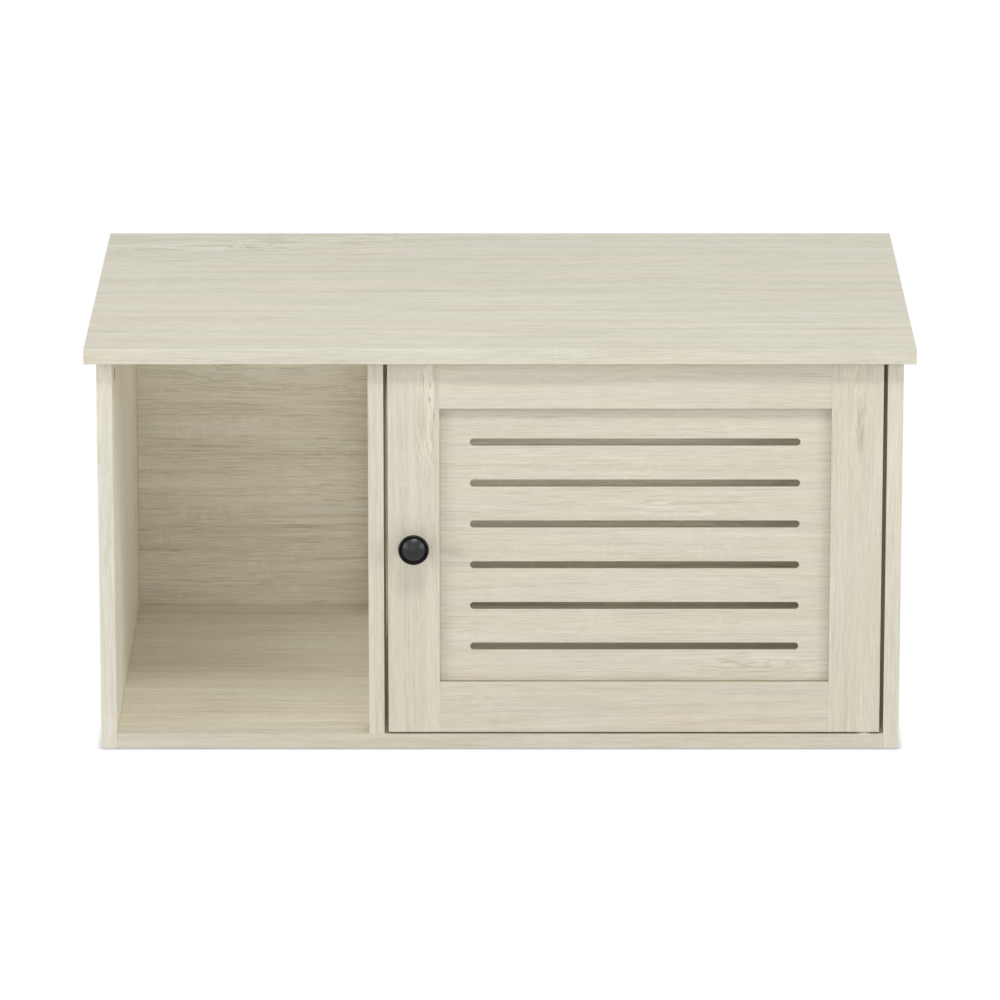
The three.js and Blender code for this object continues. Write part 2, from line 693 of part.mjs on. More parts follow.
function addBottomPanel() {
  const blank = boxBetween([inside.left, carcass.front, 0], [inside.right, carcass.back, inside.floor]);
  const tools = [
    ...[...leftBottomCams, ...rightBottomCams].flatMap((joint) => joint.camBoardCuts),
    ...leftBottomDowel.endCuts,
    ...rightBottomDowel.endCuts,
    ...dividerDowels.flatMap((joint) => joint.faceCuts),
    bushCut(pivots[0]),
  ];
  addSolid(cabinet, "bottom_panel", cut(blank, tools), oakLaminate);
}

function addBackPanel() {
  const blank = boxBetween(
    [inside.left, inside.back, inside.floor],
    [inside.right, carcass.back, carcass.top],
  );
  const tools = [...leftBackCams, ...rightBackCams].flatMap((joint) => joint.camBoardCuts);
  addSolid(cabinet, "back_panel", cut(blank, tools), oakLaminate);
}

// ---- Door ----

// The two faces of the groove round the frame's opening
const groove = {
  front: panel.front - GROOVE_CLEARANCE,
  back: panel.back + GROOVE_CLEARANCE,
};

function addStiles() {
  const knobStile = boxBetween([door.left, door.front, door.bottom], [light.left, door.back, door.top]);
  const hingeStile = boxBetween([light.right, door.front, door.bottom], [door.right, door.back, door.top]);
  const [low, high] = [door.bottom - RUN_OUT, door.top + RUN_OUT];
  const leftGroove = boxBetween(
    [light.left - GROOVE_DEPTH, groove.front, low],
    [light.left + RUN_OUT, groove.back, high],
  );
  const rightGroove = boxBetween(
    [light.right - RUN_OUT, groove.front, low],
    [light.right + GROOVE_DEPTH, groove.back, high],
  );
  const knobScrewHole = bore(
    along(knobPlace, BACKWARDS, DOOR_THICKNESS), FORWARDS,
    KNOB_SCREW.shank + 2 * FIT, DOOR_THICKNESS + RUN_OUT,
  );
  const knobCuts = [leftGroove, knobScrewHole, strikeScrewCut];
  addSolid(doorGroup, "door_knob_stile", cut(knobStile, knobCuts), oakLaminate);
  addSolid(doorGroup, "door_hinge_stile", cut(hingeStile, [rightGroove, ...pivots.map(pinCut)]), oakLaminate);
}

// Each rail runs between the stiles. Its tongue goes on into their grooves as a stub tenon at each end.
function addRails() {
  const tenon = GROOVE_DEPTH - FIT;
  const rails = [
    {
      name: "door_top_rail", low: light.top, high: door.top,
      grooveLow: light.top - RUN_OUT, grooveHigh: light.top + GROOVE_DEPTH,
      tongueLow: light.top + GROOVE_DEPTH, tongueHigh: door.top,
    },
    {
      name: "door_bottom_rail", low: door.bottom, high: light.bottom,
      grooveLow: light.bottom - GROOVE_DEPTH, grooveHigh: light.bottom + RUN_OUT,
      tongueLow: door.bottom, tongueHigh: light.bottom - GROOVE_DEPTH,
    },
  ];
  for (const { name, low, high, grooveLow, grooveHigh, tongueLow, tongueHigh } of rails) {
    const body = boxBetween([light.left, door.front, low], [light.right, door.back, high]);
    const grooveCut = boxBetween(
      [light.left - RUN_OUT, groove.front, grooveLow],
      [light.right + RUN_OUT, groove.back, grooveHigh],
    );
    const tongue = boxBetween(
      [light.left - tenon, panel.front, tongueLow],
      [light.right + tenon, panel.back, tongueHigh],
    );
    addSolid(doorGroup, name, join(cut(body, [grooveCut]), tongue), oakLaminate);
  }
}

function addSlottedPanel() {
  const [left, right] = [light.left - panel.tongue, light.right + panel.tongue];
  const [bottom, top] = [light.bottom - panel.tongue, light.top + panel.tongue];
  const outline = new THREE.Shape([
    new THREE.Vector2(left, bottom),
    new THREE.Vector2(right, bottom),
    new THREE.Vector2(right, top),
    new THREE.Vector2(left, top),
  ]);
  const length = light.right - light.left - 2 * SLOT_END_MARGIN;
  const lowest = light.bottom + SLOT_OUTER_MARGIN + SLOT_HEIGHT / 2;
  const highest = light.top - SLOT_OUTER_MARGIN - SLOT_HEIGHT / 2;
  const steps = Math.round((highest - lowest) / SLOT_PITCH);
  for (let step = 0; step <= steps; step += 1) {
    const height = THREE.MathUtils.lerp(lowest, highest, step / steps);
    const centre = middle(light.left, light.right);
    outline.holes.push(roundedRectangle(centre, height, length, SLOT_HEIGHT, SLOT_HEIGHT / 2));
  }
  addSolid(doorGroup, "door_slotted_panel", prismAlongY(outline, panel.front, panel.back), slottedLaminate);
}

// The knob: +Z points out of the door, with its foot's seat at zero. Its dome is a quarter of an ellipse,
// with points at the named shares of the quarter turn.
function addKnob() {
  const capBack = KNOB_PROJECTION - KNOB_CAP_THICKNESS;
  const backEdge = capBack + KNOB_BACK_TAPER;
  const outer = KNOB_DIAMETER / 2;
  const rimInner = outer - KNOB_RIM_WIDTH;
  const neck = KNOB_NECK_DIAMETER / 2;
  const foot = KNOB_FOOT_DIAMETER / 2;
  const screwHole = KNOB_SCREW.shank / 2 + FIT;
  const rimFront = KNOB_PROJECTION - KNOB_DOME_RISE;
  const domeFoot = rimFront - KNOB_DOME_SINK;
  const dome = KNOB_DOME_SHARES.map((share) => {
    const angle = (share * Math.PI) / 2;
    return [rimInner * Math.cos(angle), domeFoot + (KNOB_PROJECTION - domeFoot) * Math.sin(angle)];
  });
  const profile = [
    [0, KNOB_SCREW_REACH + FIT],
    [screwHole, KNOB_SCREW_REACH + FIT],
    [screwHole, 0],
    [foot, 0],
    [foot, KNOB_FOOT_THICKNESS / 2],
    [neck, KNOB_FOOT_THICKNESS],
    [neck, capBack],
    [outer - KNOB_BACK_CHAMFER, backEdge],
    [outer, backEdge + KNOB_BACK_CHAMFER],
    [outer, rimFront - KNOB_RIM_CHAMFER],
    [outer - KNOB_RIM_CHAMFER, rimFront],
    [rimInner, rimFront],
    [rimInner, domeFoot],
    ...dome,
    [0, KNOB_PROJECTION],
  ];
  addTurned(doorGroup, "door_knob", turned(profile, FINE_SIDES), blackPaint, knobPlace, FORWARDS);
  const screwSeat = along(knobPlace, BACKWARDS, DOOR_THICKNESS);
  const screw = screwGeometry(KNOB_SCREW, DOOR_THICKNESS + KNOB_SCREW_REACH);
  addTurned(doorGroup, "door_knob_screw", screw, zincPlatedSteel, screwSeat, FORWARDS);
}

// ---- Assembly ----

addTopPanel();
addSidePanels();
addDividerPanel();
addBottomPanel();
addBackPanel();
addStiles();
addRails();
addSlottedPanel();
addKnob();
addPivots();
addCatch();
addStrike();
addCamJoints();
addDowels();

export default cabinet;
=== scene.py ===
"""Looks for a low flat-pack cabinet that hides a cat litter box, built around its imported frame.

Lengths are in metres, in the frame's axes: X to the right, -Y out of the front, Z up. The boards are copies
of the frame's solids with eased edges, and the hardware is modelled again with round walls and driven heads.
"""

import logging
import math
from collections.abc import Callable, Iterable, Sequence
from dataclasses import dataclass, field, replace
from enum import Enum

import bmesh
import bpy
from mathutils import Matrix, Vector


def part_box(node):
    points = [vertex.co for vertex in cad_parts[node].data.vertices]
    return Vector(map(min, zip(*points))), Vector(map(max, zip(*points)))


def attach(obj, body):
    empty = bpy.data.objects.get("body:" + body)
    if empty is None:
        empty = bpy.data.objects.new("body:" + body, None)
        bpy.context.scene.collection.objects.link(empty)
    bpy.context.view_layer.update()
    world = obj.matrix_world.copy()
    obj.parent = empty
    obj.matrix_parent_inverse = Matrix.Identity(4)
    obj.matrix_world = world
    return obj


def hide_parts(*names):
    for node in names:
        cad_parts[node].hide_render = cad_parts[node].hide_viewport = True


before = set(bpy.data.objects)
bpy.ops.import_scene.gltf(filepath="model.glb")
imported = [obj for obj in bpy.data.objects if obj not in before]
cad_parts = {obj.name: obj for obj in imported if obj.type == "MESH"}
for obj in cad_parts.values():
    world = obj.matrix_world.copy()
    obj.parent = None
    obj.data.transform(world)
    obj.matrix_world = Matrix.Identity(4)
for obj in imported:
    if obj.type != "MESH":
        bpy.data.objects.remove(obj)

LOG = logging.getLogger("cabinet")

MM = 0.001
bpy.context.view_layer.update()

RIGHT = Vector((1, 0, 0))
LEFT = -RIGHT
BACKWARDS = Vector((0, 1, 0))
FORWARDS = -BACKWARDS
UP = Vector((0, 0, 1))
DOWN = -UP

SHARP_ANGLE = math.radians(32)
FLAT_ANGLE = math.radians(0.5)
MERGE_DISTANCE = 1e-6
ROUND_SIDES = 48

Shape = bmesh.types.BMesh
Edge = bmesh.types.BMEdge
Material = bpy.types.Material
Colour = tuple[float, float, float]
Pair = tuple[float, float]
EDGE_TONE: Colour = (1.03, 1.035, 1.05)


class Axis(Enum):
    """One of the frame's three directions."""

    X = 0
    Y = 1
    Z = 2

    def third(self, second: "Axis") -> "Axis":
        """The direction that is neither this one nor the second."""
        return next(axis for axis in Axis if axis not in (self, second))


class Body(Enum):
    """What a piece moves with."""

    CABINET = "cabinet"
    DOOR = "door"


class Slot(Enum):
    """The record's material slots that each new piece's stock names."""

    OAK = "oak_laminate"
    KNOB = "black_knob"
    STEEL = "plated_steel"
    ZINC = "zinc_cam"
    NYLON = "white_nylon"
    CATCH = "catch_plastic"
    MAGNET = "magnet"


# ---- Shader maths ----


@dataclass(frozen=True)
class Layer:
    """A layer of soft noise in a pattern.

    Attributes:
        along: The length of its cells, in metres.
        across: Their width, which is their length where this is 0.
        detail: How many finer layers it has.
        rough: How strong they are.
        weight: How much it adds to a pattern that sums its layers.
    """

    along: float
    across: float = 0.0
    detail: float = 1.0
    rough: float = 0.5
    weight: float = 1.0


class Value:
    """A socket of a material's nodes. Python's operators on it add nodes of arithmetic."""

    def __init__(self, graph: "Graph", socket: bpy.types.NodeSocket) -> None:
        """Wraps an output socket of a graph."""
        self.graph = graph
        self.socket = socket

    def __add__(self, other: "Term") -> "Value":
        """self + other."""
        return self.graph.math("ADD", self, other)

    __radd__ = __add__

    def __sub__(self, other: "Term") -> "Value":
        """self - other."""
        return self.graph.math("SUBTRACT", self, other)

    def __rsub__(self, other: "Term") -> "Value":
        """other - self."""
        return self.graph.math("SUBTRACT", other, self)

    def __mul__(self, other: "Term") -> "Value":
        """self * other."""
        return self.graph.math("MULTIPLY", self, other)

    __rmul__ = __mul__

    def __truediv__(self, other: "Term") -> "Value":
        """self / other."""
        return self.graph.math("DIVIDE", self, other)


Term = Value | float


class Graph:
    """The nodes of one material or world."""

    def __init__(self, owner: bpy.types.ID) -> None:
        """Starts an empty graph.

        Args:
            owner: The material or world that the nodes belong to.
        """
        owner.use_nodes = True
        self.tree = owner.node_tree
        self.tree.nodes.clear()

    def node(self, kind: str, settings: dict | None = None, inputs: dict | None = None) -> bpy.types.Node:
        """Adds a node.

        Args:
            kind: The node's type.
            settings: Its own settings, which are set first. "stops" are a ramp's places and colours.
            inputs: Values, Values or sockets for its inputs, by name or number.

        Returns:
            The node.
        """
        made = self.tree.nodes.new(kind)
        for name, value in (settings or {}).items():
            if name == "stops":
                elements = made.color_ramp.elements
                while len(elements) < len(value):
                    elements.new(1.0)
                for element, (place, colour) in zip(elements, value):
                    element.position = place
                    element.color = (*colour, 1.0)
            else:
                setattr(made, name, value)
        for key, value in (inputs or {}).items():
            if isinstance(value, Value):
                value = value.socket
            if isinstance(value, bpy.types.NodeSocket):
                self.tree.links.new(value, made.inputs[key])
            else:
                made.inputs[key].default_value = value
        return made

    def value(
        self, kind: str, settings: dict | None = None, inputs: dict | None = None, output: str | int = 0
    ) -> Value:
        """Adds a node and wraps one of its outputs. It takes what node takes, and the output's name."""
        return Value(self, self.node(kind, settings, inputs).outputs[output])

    def math(self, operation: str, *terms: Term) -> Value:
        """Adds a Math node for an operation on its terms."""
        return self.value("ShaderNodeMath", {"operation": operation}, dict(enumerate(terms)))

    def step(self, value: Value, low: float, high: float) -> Value:
        """Goes smoothly from 0 where value is low to 1 where it is high."""
        limits = {"Value": value, "From Min": low, "From Max": high}
        return self.value("ShaderNodeMapRange", {"interpolation_type": "SMOOTHSTEP"}, limits)

    def mix(self, share: Term, first: Value | Colour, second: Value | Colour, blend: str = "MIX") -> Value:
        """Blends two colours.

        Args:
            share: How much of the second, from 0 to 1.
            first: The colour at 0.
            second: The colour at 1.
            blend: How the second is laid on the first.

        Returns:
            The blended colour.
        """
        colours = [c if isinstance(c, Value) else (*c, 1.0) for c in (first, second)]
        return self.value(
            "ShaderNodeMix",
            {"data_type": "RGBA", "blend_type": blend},
            {0: share, 6: colours[0], 7: colours[1]},
            output=2,
        )

    def noise(self, point: Value, layer: Layer, along: Axis = Axis.X) -> Value:
        """Soft noise around 0.5.

        Args:
            point: Where it is read, in metres.
            layer: Its cells and its detail.
            along: The direction that its cells are long in.

        Returns:
            The noise.
        """
        cell = [layer.across or layer.along] * 3
        cell[along.value] = layer.along
        spread = self.value("ShaderNodeVectorMath", {"operation": "DIVIDE"}, {0: point, 1: cell})
        return self.value(
            "ShaderNodeTexNoise",
            {"noise_dimensions": "3D"},
            {"Vector": spread, "Scale": 1.0, "Detail": layer.detail, "Roughness": layer.rough},
        )


class Surface(Graph):
    """A material with one main shader."""

    def __init__(self, name: str, **constants: float | Colour) -> None:
        """Starts a material.

        Args:
            name: The material's name.
            constants: The shader's sockets that are the same all over, with _ for a space.
        """
        self.material = bpy.data.materials.new(name)
        super().__init__(self.material)
        self.shader = self.node(
            "ShaderNodeBsdfPrincipled",
            inputs={key.replace("_", " "): value for key, value in constants.items()},
        )
        self.node("ShaderNodeOutputMaterial", inputs={"Surface": self.shader.outputs[0]})

    def point(self) -> Value:
        """The place on the piece, in metres."""
        return self.value("ShaderNodeTexCoord", output="Object")

    def paint(self, **values: Value) -> None:
        """Links what changes over the surface to the shader's sockets, with _ for a space."""
        for key, value in values.items():
            self.tree.links.new(value.socket, self.shader.inputs[key.replace("_", " ")])

    def relief(self, height: Value, depth: float, strength: float) -> None:
        """Gives the surface a fine relief.

        Args:
            height: From 0 to 1.
            depth: How far 1 stands over 0, in metres.
            strength: How much of it shows.
        """
        bump = {"Height": height, "Distance": depth, "Strength": strength}
        self.paint(Normal=self.value("ShaderNodeBump", inputs=bump))


# ---- Finishes ----


@dataclass(frozen=True)
class Swirl:
    """A place where the grain flows round a small knot.

    Attributes:
        along: Its middle, along the grain.
        across: Its middle, across the grain.
        length: How far it reaches along the grain.
        width: How far it reaches across.
        strength: How closed its rings are.
    """

    along: float
    across: float
    length: float
    width: float
    strength: float = 0.9


@dataclass(frozen=True)
class OakLaminate:
    """Pale oak laminate, with short fibres, long streaks and soft bands, and a swirl here and there.

    Attributes:
        board: The board that it covers.
        grain: The direction that the grain runs in.
        across: The direction across it on the board's main face, which is the ends' grain too.
        seed: Moves the pattern, so that no two boards are alike.
        tone: A colour that the whole board is multiplied by; on the door's bottom rail it is painted shade.
        contrast: How strongly the grain shows.
        bands: How strong its wide bands are beside its fibres.
        swirls: The places where the grain flows round a knot.
    """

    board: str
    grain: Axis
    across: Axis
    seed: int
    tone: Colour = (1.0, 1.0, 1.0)
    contrast: float = 1.0
    bands: float = 1.0
    swirls: tuple[Swirl, ...] = ()

    PALE = (0.800, 0.757, 0.640)
    DEEP = (0.480, 0.430, 0.310)
    ROSY = (1.010, 0.996, 0.990)
    GREENISH = (0.992, 1.002, 1.000)
    YELLOW = (1.003, 1.001, 0.982)
    GREYISH = (0.998, 1.000, 1.016)

    BEND = Layer(0.40, 0.070)
    CURL = Layer(0.045, 0.018, 2.0)
    CURLED_PATCH = Layer(0.16, 0.050, 0.0)
    FIBRE = Layer(0.020, 0.0011, 1.0, 0.6, weight=0.56)
    DASH = Layer(0.070, 0.0016, weight=0.34)
    STREAK = Layer(0.42, 0.0030, 1.0, 0.6, weight=0.30)
    VEIN = Layer(0.28, 0.0100, weight=0.30)
    BAND = Layer(0.80, 0.034, weight=0.22)
    PORES = Layer(0.0040, 0.0004, 0.0, weight=0.10)
    HAIR = Layer(0.060, 0.0014, 0.0)
    RAY = Layer(0.0045, 0.0120, 0.0, weight=0.06)
    RAY_PATCH = Layer(0.11, 0.032, 0.0)
    WARMTH = Layer(0.30, 0.036)
    YELLOWING = Layer(0.20, 0.016)
    SEED_STEP = (1.37, 0.71)

    def edges(self) -> "OakLaminate":
        """The paler band along the board's long edges."""
        paler = tuple(part * share for part, share in zip(self.tone, EDGE_TONE))
        return OakLaminate(f"{self.board}_edges", self.grain, self.across, self.seed, paler)

    def ends(self) -> "OakLaminate":
        """The same band on the board's ends, where its grain runs across."""
        third = self.grain.third(self.across)
        return OakLaminate(f"{self.board}_ends", self.across, third, self.seed + 3, self.edges().tone)

    def material(self) -> Material:
        """Builds the material.

        Returns:
            The material.
        """
        surface = Surface(f"oak_{self.board}", IOR=1.46)
        parts = surface.node("ShaderNodeSeparateXYZ", inputs={0: surface.point()}).outputs
        axes = (self.grain, self.across, self.grain.third(self.across))
        along, across, depth = (Value(surface, parts[axis.value]) for axis in axes)
        shifted = [place + self.seed * step for place, step in zip((along, across), self.SEED_STEP)]
        still = self._combined(surface, *shifted, depth)
        curl = surface.noise(still, self.CURL) - 0.5
        patch = surface.step(surface.noise(still, self.CURLED_PATCH), 0.55, 0.72)
        shift = (surface.noise(still, self.BEND) - 0.5) * 0.018 + curl * (patch * 0.006 + 0.0005)
        knot: Value | None = None
        for swirl in self.swirls:
            du = (along - swirl.along) / swirl.length + curl * 0.6
            dv = (across - swirl.across) / swirl.width + curl * 0.8
            reach = du * du + dv * dv
            near = surface.math("EXPONENT", 0.0 - reach)
            ring = surface.math("SQRT", reach) * swirl.width
            shift = shift + near * (ring - (across - swirl.across)) * swirl.strength
            knot = near * swirl.strength + (0.0 if knot is None else knot)
        flow = self._combined(surface, shifted[0], shifted[1] + shift, depth + shift)

        fibre, dash, streak, vein, band, pores, hair = (
            surface.noise(flow, layer)
            for layer in (self.FIBRE, self.DASH, self.STREAK, self.VEIN, self.BAND, self.PORES, self.HAIR)
        )
        hair = surface.step(hair, 0.60, 0.74)
        ray = surface.step(surface.noise(still, self.RAY), 0.58, 0.74)
        rays = ray * surface.step(surface.noise(still, self.RAY_PATCH), 0.52, 0.68)
        grain = (
            (fibre - 0.5) * self.FIBRE.weight
            + (dash - 0.5) * self.DASH.weight
            + (streak - 0.5) * (self.STREAK.weight * self.bands)
            + (vein - 0.5) * (self.VEIN.weight * self.bands)
            + (band - 0.5) * (self.BAND.weight * self.bands)
            + (pores - 0.5) * self.PORES.weight
            + hair * (0.08 + (vein - 0.4) * 0.5)
            - rays * (self.RAY.weight * self.contrast)
        )
        if knot is not None:
            grain = grain + knot * ((dash - 0.5) * 1.1 + curl * 1.1 + (streak - 0.5) * 1.2 + hair * 0.25)
        colour = surface.mix(0.28 + grain * self.contrast, self.PALE, self.DEEP)
        warmth = surface.step(surface.noise(flow, self.WARMTH), 0.34, 0.66)
        yellow = surface.step(surface.noise(flow, self.YELLOWING), 0.30, 0.70)
        for tint in (
            surface.mix(warmth, self.ROSY, self.GREENISH),
            surface.mix(yellow, self.YELLOW, self.GREYISH),
            self.tone,
        ):
            colour = surface.mix(1.0, colour, tint, "MULTIPLY")
        surface.paint(Base_Color=colour, Roughness=0.50 + (fibre - 0.5) * 0.16)
        surface.relief(fibre - hair * 0.5 - pores * 0.4, 0.00005, 0.5)
        return surface.material

    @staticmethod
    def _combined(surface: Surface, *parts: Value) -> Value:
        """A point from its three parts."""
        return surface.value("ShaderNodeCombineXYZ", inputs=dict(enumerate(parts)))


@dataclass(frozen=True)
class ParticleCore:
    """The cut core of a particle board: pressed chips in honey and brown."""

    name: str = "particle_core"
    chips_per_metre: float = 650.0
    dust: Layer = Layer(0.0008, detail=2.0)
    stops: tuple[tuple[float, Colour], ...] = (
        (0.0, (0.30, 0.21, 0.12)), (0.5, (0.46, 0.34, 0.20)), (1.0, (0.62, 0.49, 0.32)),
    )

    def material(self) -> Material:
        """Builds the material.

        Returns:
            The material.
        """
        surface = Surface(self.name, IOR=1.4)
        point = surface.point()
        cells = {"Vector": point, "Scale": self.chips_per_metre}
        chips = surface.value("ShaderNodeTexVoronoi", {"voronoi_dimensions": "3D"}, cells, "Color")
        chip = surface.value("ShaderNodeSeparateColor", inputs={0: chips})
        dust = surface.noise(point, self.dust)
        colour = surface.value("ShaderNodeValToRGB", {"stops": self.stops}, {0: chip * 0.7 + dust * 0.3})
        surface.paint(Base_Color=colour, Roughness=0.78 + dust * 0.2)
        surface.relief(chip + dust, 0.0002, 0.6)
        return surface.material


@dataclass(frozen=True)
class CloudedFinish:
    """An even finish with faint clouds of colour and a fine relief, such as paint, plastic or metal.

    Attributes:
        name: The material's name.
        dark: The colour of its darker clouds.
        light: The colour of its lighter clouds.
        cloud: The layer that the clouds follow.
        texture: The layer that the relief follows.
        depth: How deep the relief is, in metres.
        strength: How much of it shows.
        roughness: How dull it is on the whole.
        clouding: How much the clouds change that.
        scratching: How much the scratches change it.
        scratch: The layer that the scratches follow, which is the texture's where there is none.
        ior: How strongly it reflects where it is no metal.
        metallic: 1 for a metal.
    """

    name: str
    dark: Colour
    light: Colour
    cloud: Layer
    texture: Layer
    depth: float
    strength: float
    roughness: float
    clouding: float = 0.0
    scratching: float = 0.0
    scratch: Layer | None = None
    ior: float = 1.5
    metallic: float = 0.0

    def material(self) -> Material:
        """Builds the material.

        Returns:
            The material.
        """
        surface = Surface(self.name, IOR=self.ior, Metallic=self.metallic)
        point = surface.point()
        cloud = surface.noise(point, self.cloud)
        scratch = surface.noise(point, self.scratch or self.texture)
        dullness = self.roughness + (cloud - 0.5) * self.clouding + (scratch - 0.5) * self.scratching
        surface.paint(Base_Color=surface.mix(cloud, self.dark, self.light), Roughness=dullness)
        surface.relief(surface.noise(point, self.texture), self.depth, self.strength)
        return surface.material


@dataclass(frozen=True)
class BareBeech:
    """Bare beech, pinkish brown with short flecks along the grain."""

    grain: Axis
    fibre: Layer = Layer(0.02, 0.0006, 3.0)
    fleck: Layer = Layer(0.0016, 0.0003, 0.0)

    def material(self) -> Material:
        """Builds the material.

        Returns:
            The material.
        """
        surface = Surface(f"bare_beech_{self.grain.name.lower()}", IOR=1.4)
        point = surface.point()
        fibre = surface.noise(point, self.fibre, self.grain)
        fleck = surface.step(surface.noise(point, self.fleck, self.grain), 0.60, 0.72)
        colour = surface.mix(fibre + fleck * 0.3, (0.62, 0.44, 0.26), (0.40, 0.25, 0.13))
        surface.paint(Base_Color=colour, Roughness=0.62 + fibre * 0.2)
        surface.relief(fibre, 0.00008, 0.6)
        return surface.material


@dataclass(frozen=True)
class Stock:
    """What a piece is made of: its material slot, which is not used, and its materials in the order of its
    faces' numbers.
    """

    slot: Slot
    materials: tuple[Material, ...]


class Finishes:
    """Every finish but the laminates and the beech, each built once."""

    def __init__(self) -> None:
        """Builds the materials."""
        fibre_dust = Layer(0.0012, 0.0004, 3.0)
        ferrite_grain = Layer(0.0006, detail=3.0)
        fibre = CloudedFinish(
            "fibre_core", (0.27, 0.23, 0.15), (0.40, 0.34, 0.23), fibre_dust, fibre_dust,
            depth=0.0001, strength=0.5, roughness=0.84, clouding=0.2, ior=1.4,
        )
        black = CloudedFinish(
            "satin_black", (0.0045, 0.0045, 0.0045), (0.0085, 0.008, 0.008),
            Layer(0.006, detail=3.0), Layer(0.0004),
            depth=0.00002, strength=0.6, roughness=0.35, clouding=0.08, ior=1.48,
        )
        steel = CloudedFinish(
            "zinc_plated_steel", (0.58, 0.58, 0.56), (0.74, 0.74, 0.72),
            Layer(0.004, detail=3.0), Layer(0.0008, detail=2.0),
            depth=0.00002, strength=0.7, roughness=0.34,
            clouding=0.2, scratching=0.15, scratch=Layer(0.004, 0.0003), metallic=1.0,
        )
        zinc = replace(
            steel, name="cast_zinc", dark=(0.36, 0.36, 0.355), light=(0.50, 0.50, 0.49),
            texture=Layer(0.0005, detail=2.0), depth=0.00004, roughness=0.46,
        )
        nylon = CloudedFinish(
            "white_nylon", (0.72, 0.71, 0.67), (0.80, 0.79, 0.75), Layer(0.008, detail=2.0), Layer(0.0005),
            depth=0.00003, strength=0.7, roughness=0.42, scratching=0.2,
        )
        ivory = replace(
            nylon, name="ivory_plastic", dark=(0.64, 0.61, 0.52), light=(0.72, 0.69, 0.60), roughness=0.48
        )
        ferrite = CloudedFinish(
            "ferrite", (0.035, 0.035, 0.038), (0.075, 0.075, 0.080), ferrite_grain, ferrite_grain,
            depth=0.00006, strength=0.8, roughness=0.6, clouding=0.2, ior=1.6,
        )
        self.cores = (ParticleCore().material(), fibre.material())
        self.black = Stock(Slot.KNOB, (black.material(),))
        self.steel = Stock(Slot.STEEL, (steel.material(),))
        self.zinc = Stock(Slot.ZINC, (zinc.material(),))
        self.nylon = Stock(Slot.NYLON, (nylon.material(),))
        self.ivory = Stock(Slot.CATCH, (ivory.material(),))
        self.magnet = Stock(Slot.MAGNET, (ferrite.material(), *self.steel.materials))


# ---- Meshes ----


def cad_copy(node: str) -> Shape:
    """A copy of a frame node's solid, with its doubles merged and its flat faces made whole.

    Args:
        node: The node's name.

    Returns:
        The copy.
    """
    bm = bmesh.new()
    bm.from_mesh(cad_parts[node].data)
    bmesh.ops.remove_doubles(bm, verts=bm.verts, dist=MERGE_DISTANCE)
    bmesh.ops.dissolve_limit(bm, angle_limit=FLAT_ANGLE, verts=bm.verts, edges=bm.edges, delimit=set())
    return bm


def ease(bm: Shape, wanted: Callable[[Edge], bool], width: float) -> None:
    """Rounds the edges that are wanted.

    Args:
        bm: The mesh to change.
        wanted: Says whether an edge is rounded.
        width: How far from the edge the rounding starts.
    """
    chosen = [edge for edge in bm.edges if wanted(edge)]
    bmesh.ops.bevel(
        bm, geom=chosen, offset=width, offset_type="OFFSET", segments=2, profile=0.5,
        affect="EDGES", clamp_overlap=True, material=-1,
    )


def is_outer_corner(edge: Edge, shortest: float) -> bool:
    """Whether an edge is a sharp outer corner.

    Args:
        edge: The edge.
        shortest: The least length that counts.

    Returns:
        Whether it is one.
    """
    if len(edge.link_faces) != 2 or edge.calc_length() < shortest:
        return False
    return edge.calc_face_angle_signed(0.0) > SHARP_ANGLE


def turned(profile: Sequence[Pair], sides: int = ROUND_SIDES) -> Shape:
    """A solid turned about Z from a profile that starts and ends on the axis.

    Args:
        profile: Radius and height of each point, up the outside.
        sides: How many sides a turn has.

    Returns:
        The solid.
    """
    bm = bmesh.new()
    points = [bm.verts.new((radius, 0.0, height)) for radius, height in profile]
    edges = [bm.edges.new(pair) for pair in zip(points, points[1:])]
    bmesh.ops.spin(
        bm, geom=points + edges, cent=(0.0, 0.0, 0.0), axis=UP, angle=math.tau, steps=sides, use_merge=True
    )
    bmesh.ops.remove_doubles(bm, verts=bm.verts, dist=MERGE_DISTANCE)
    bmesh.ops.recalc_face_normals(bm, faces=bm.faces)
    return bm


def block(low: Sequence[float], high: Sequence[float]) -> Shape:
    """A solid box.

    Args:
        low: Its low corner.
        high: Its high corner.

    Returns:
        The box.
    """
    bm = bmesh.new()
    low, high = Vector(low), Vector(high)
    place = Matrix.Translation((low + high) / 2) @ Matrix.Diagonal((*(high - low), 1.0))
    bmesh.ops.create_cube(bm, size=1.0, matrix=place)
    return bm


def arc(centre: Pair, radii: Pair, start: float, end: float, steps: int) -> list[Pair]:
    """Points on part of an ellipse, for a profile.

    Args:
        centre: Its middle, as radius and height.
        radii: Its half-axes, in the same order.
        start: The angle that it starts at, in degrees from the radius's direction.
        end: The angle that it ends at.
        steps: How many steps it takes.

    Returns:
        The points.
    """
    angles = [math.radians(start + (end - start) * step / steps) for step in range(steps + 1)]
    return [(centre[0] + radii[0] * math.cos(a), centre[1] + radii[1] * math.sin(a)) for a in angles]


def mesh_of(bm: Shape, name: str) -> bpy.types.Mesh:
    """Turns a bmesh into a mesh.

    Args:
        bm: The bmesh, which is freed.
        name: The mesh's name.

    Returns:
        The mesh.
    """
    mesh = bpy.data.meshes.new(name)
    bm.to_mesh(mesh)
    bm.free()
    return mesh


def added(name: str, data: bpy.types.ID) -> bpy.types.Object:
    """Adds an object to the scene.

    Args:
        name: Its name.
        data: Its mesh, lamp or camera.

    Returns:
        The object.
    """
    item = bpy.data.objects.new(name, data)
    bpy.context.scene.collection.objects.link(item)
    return item


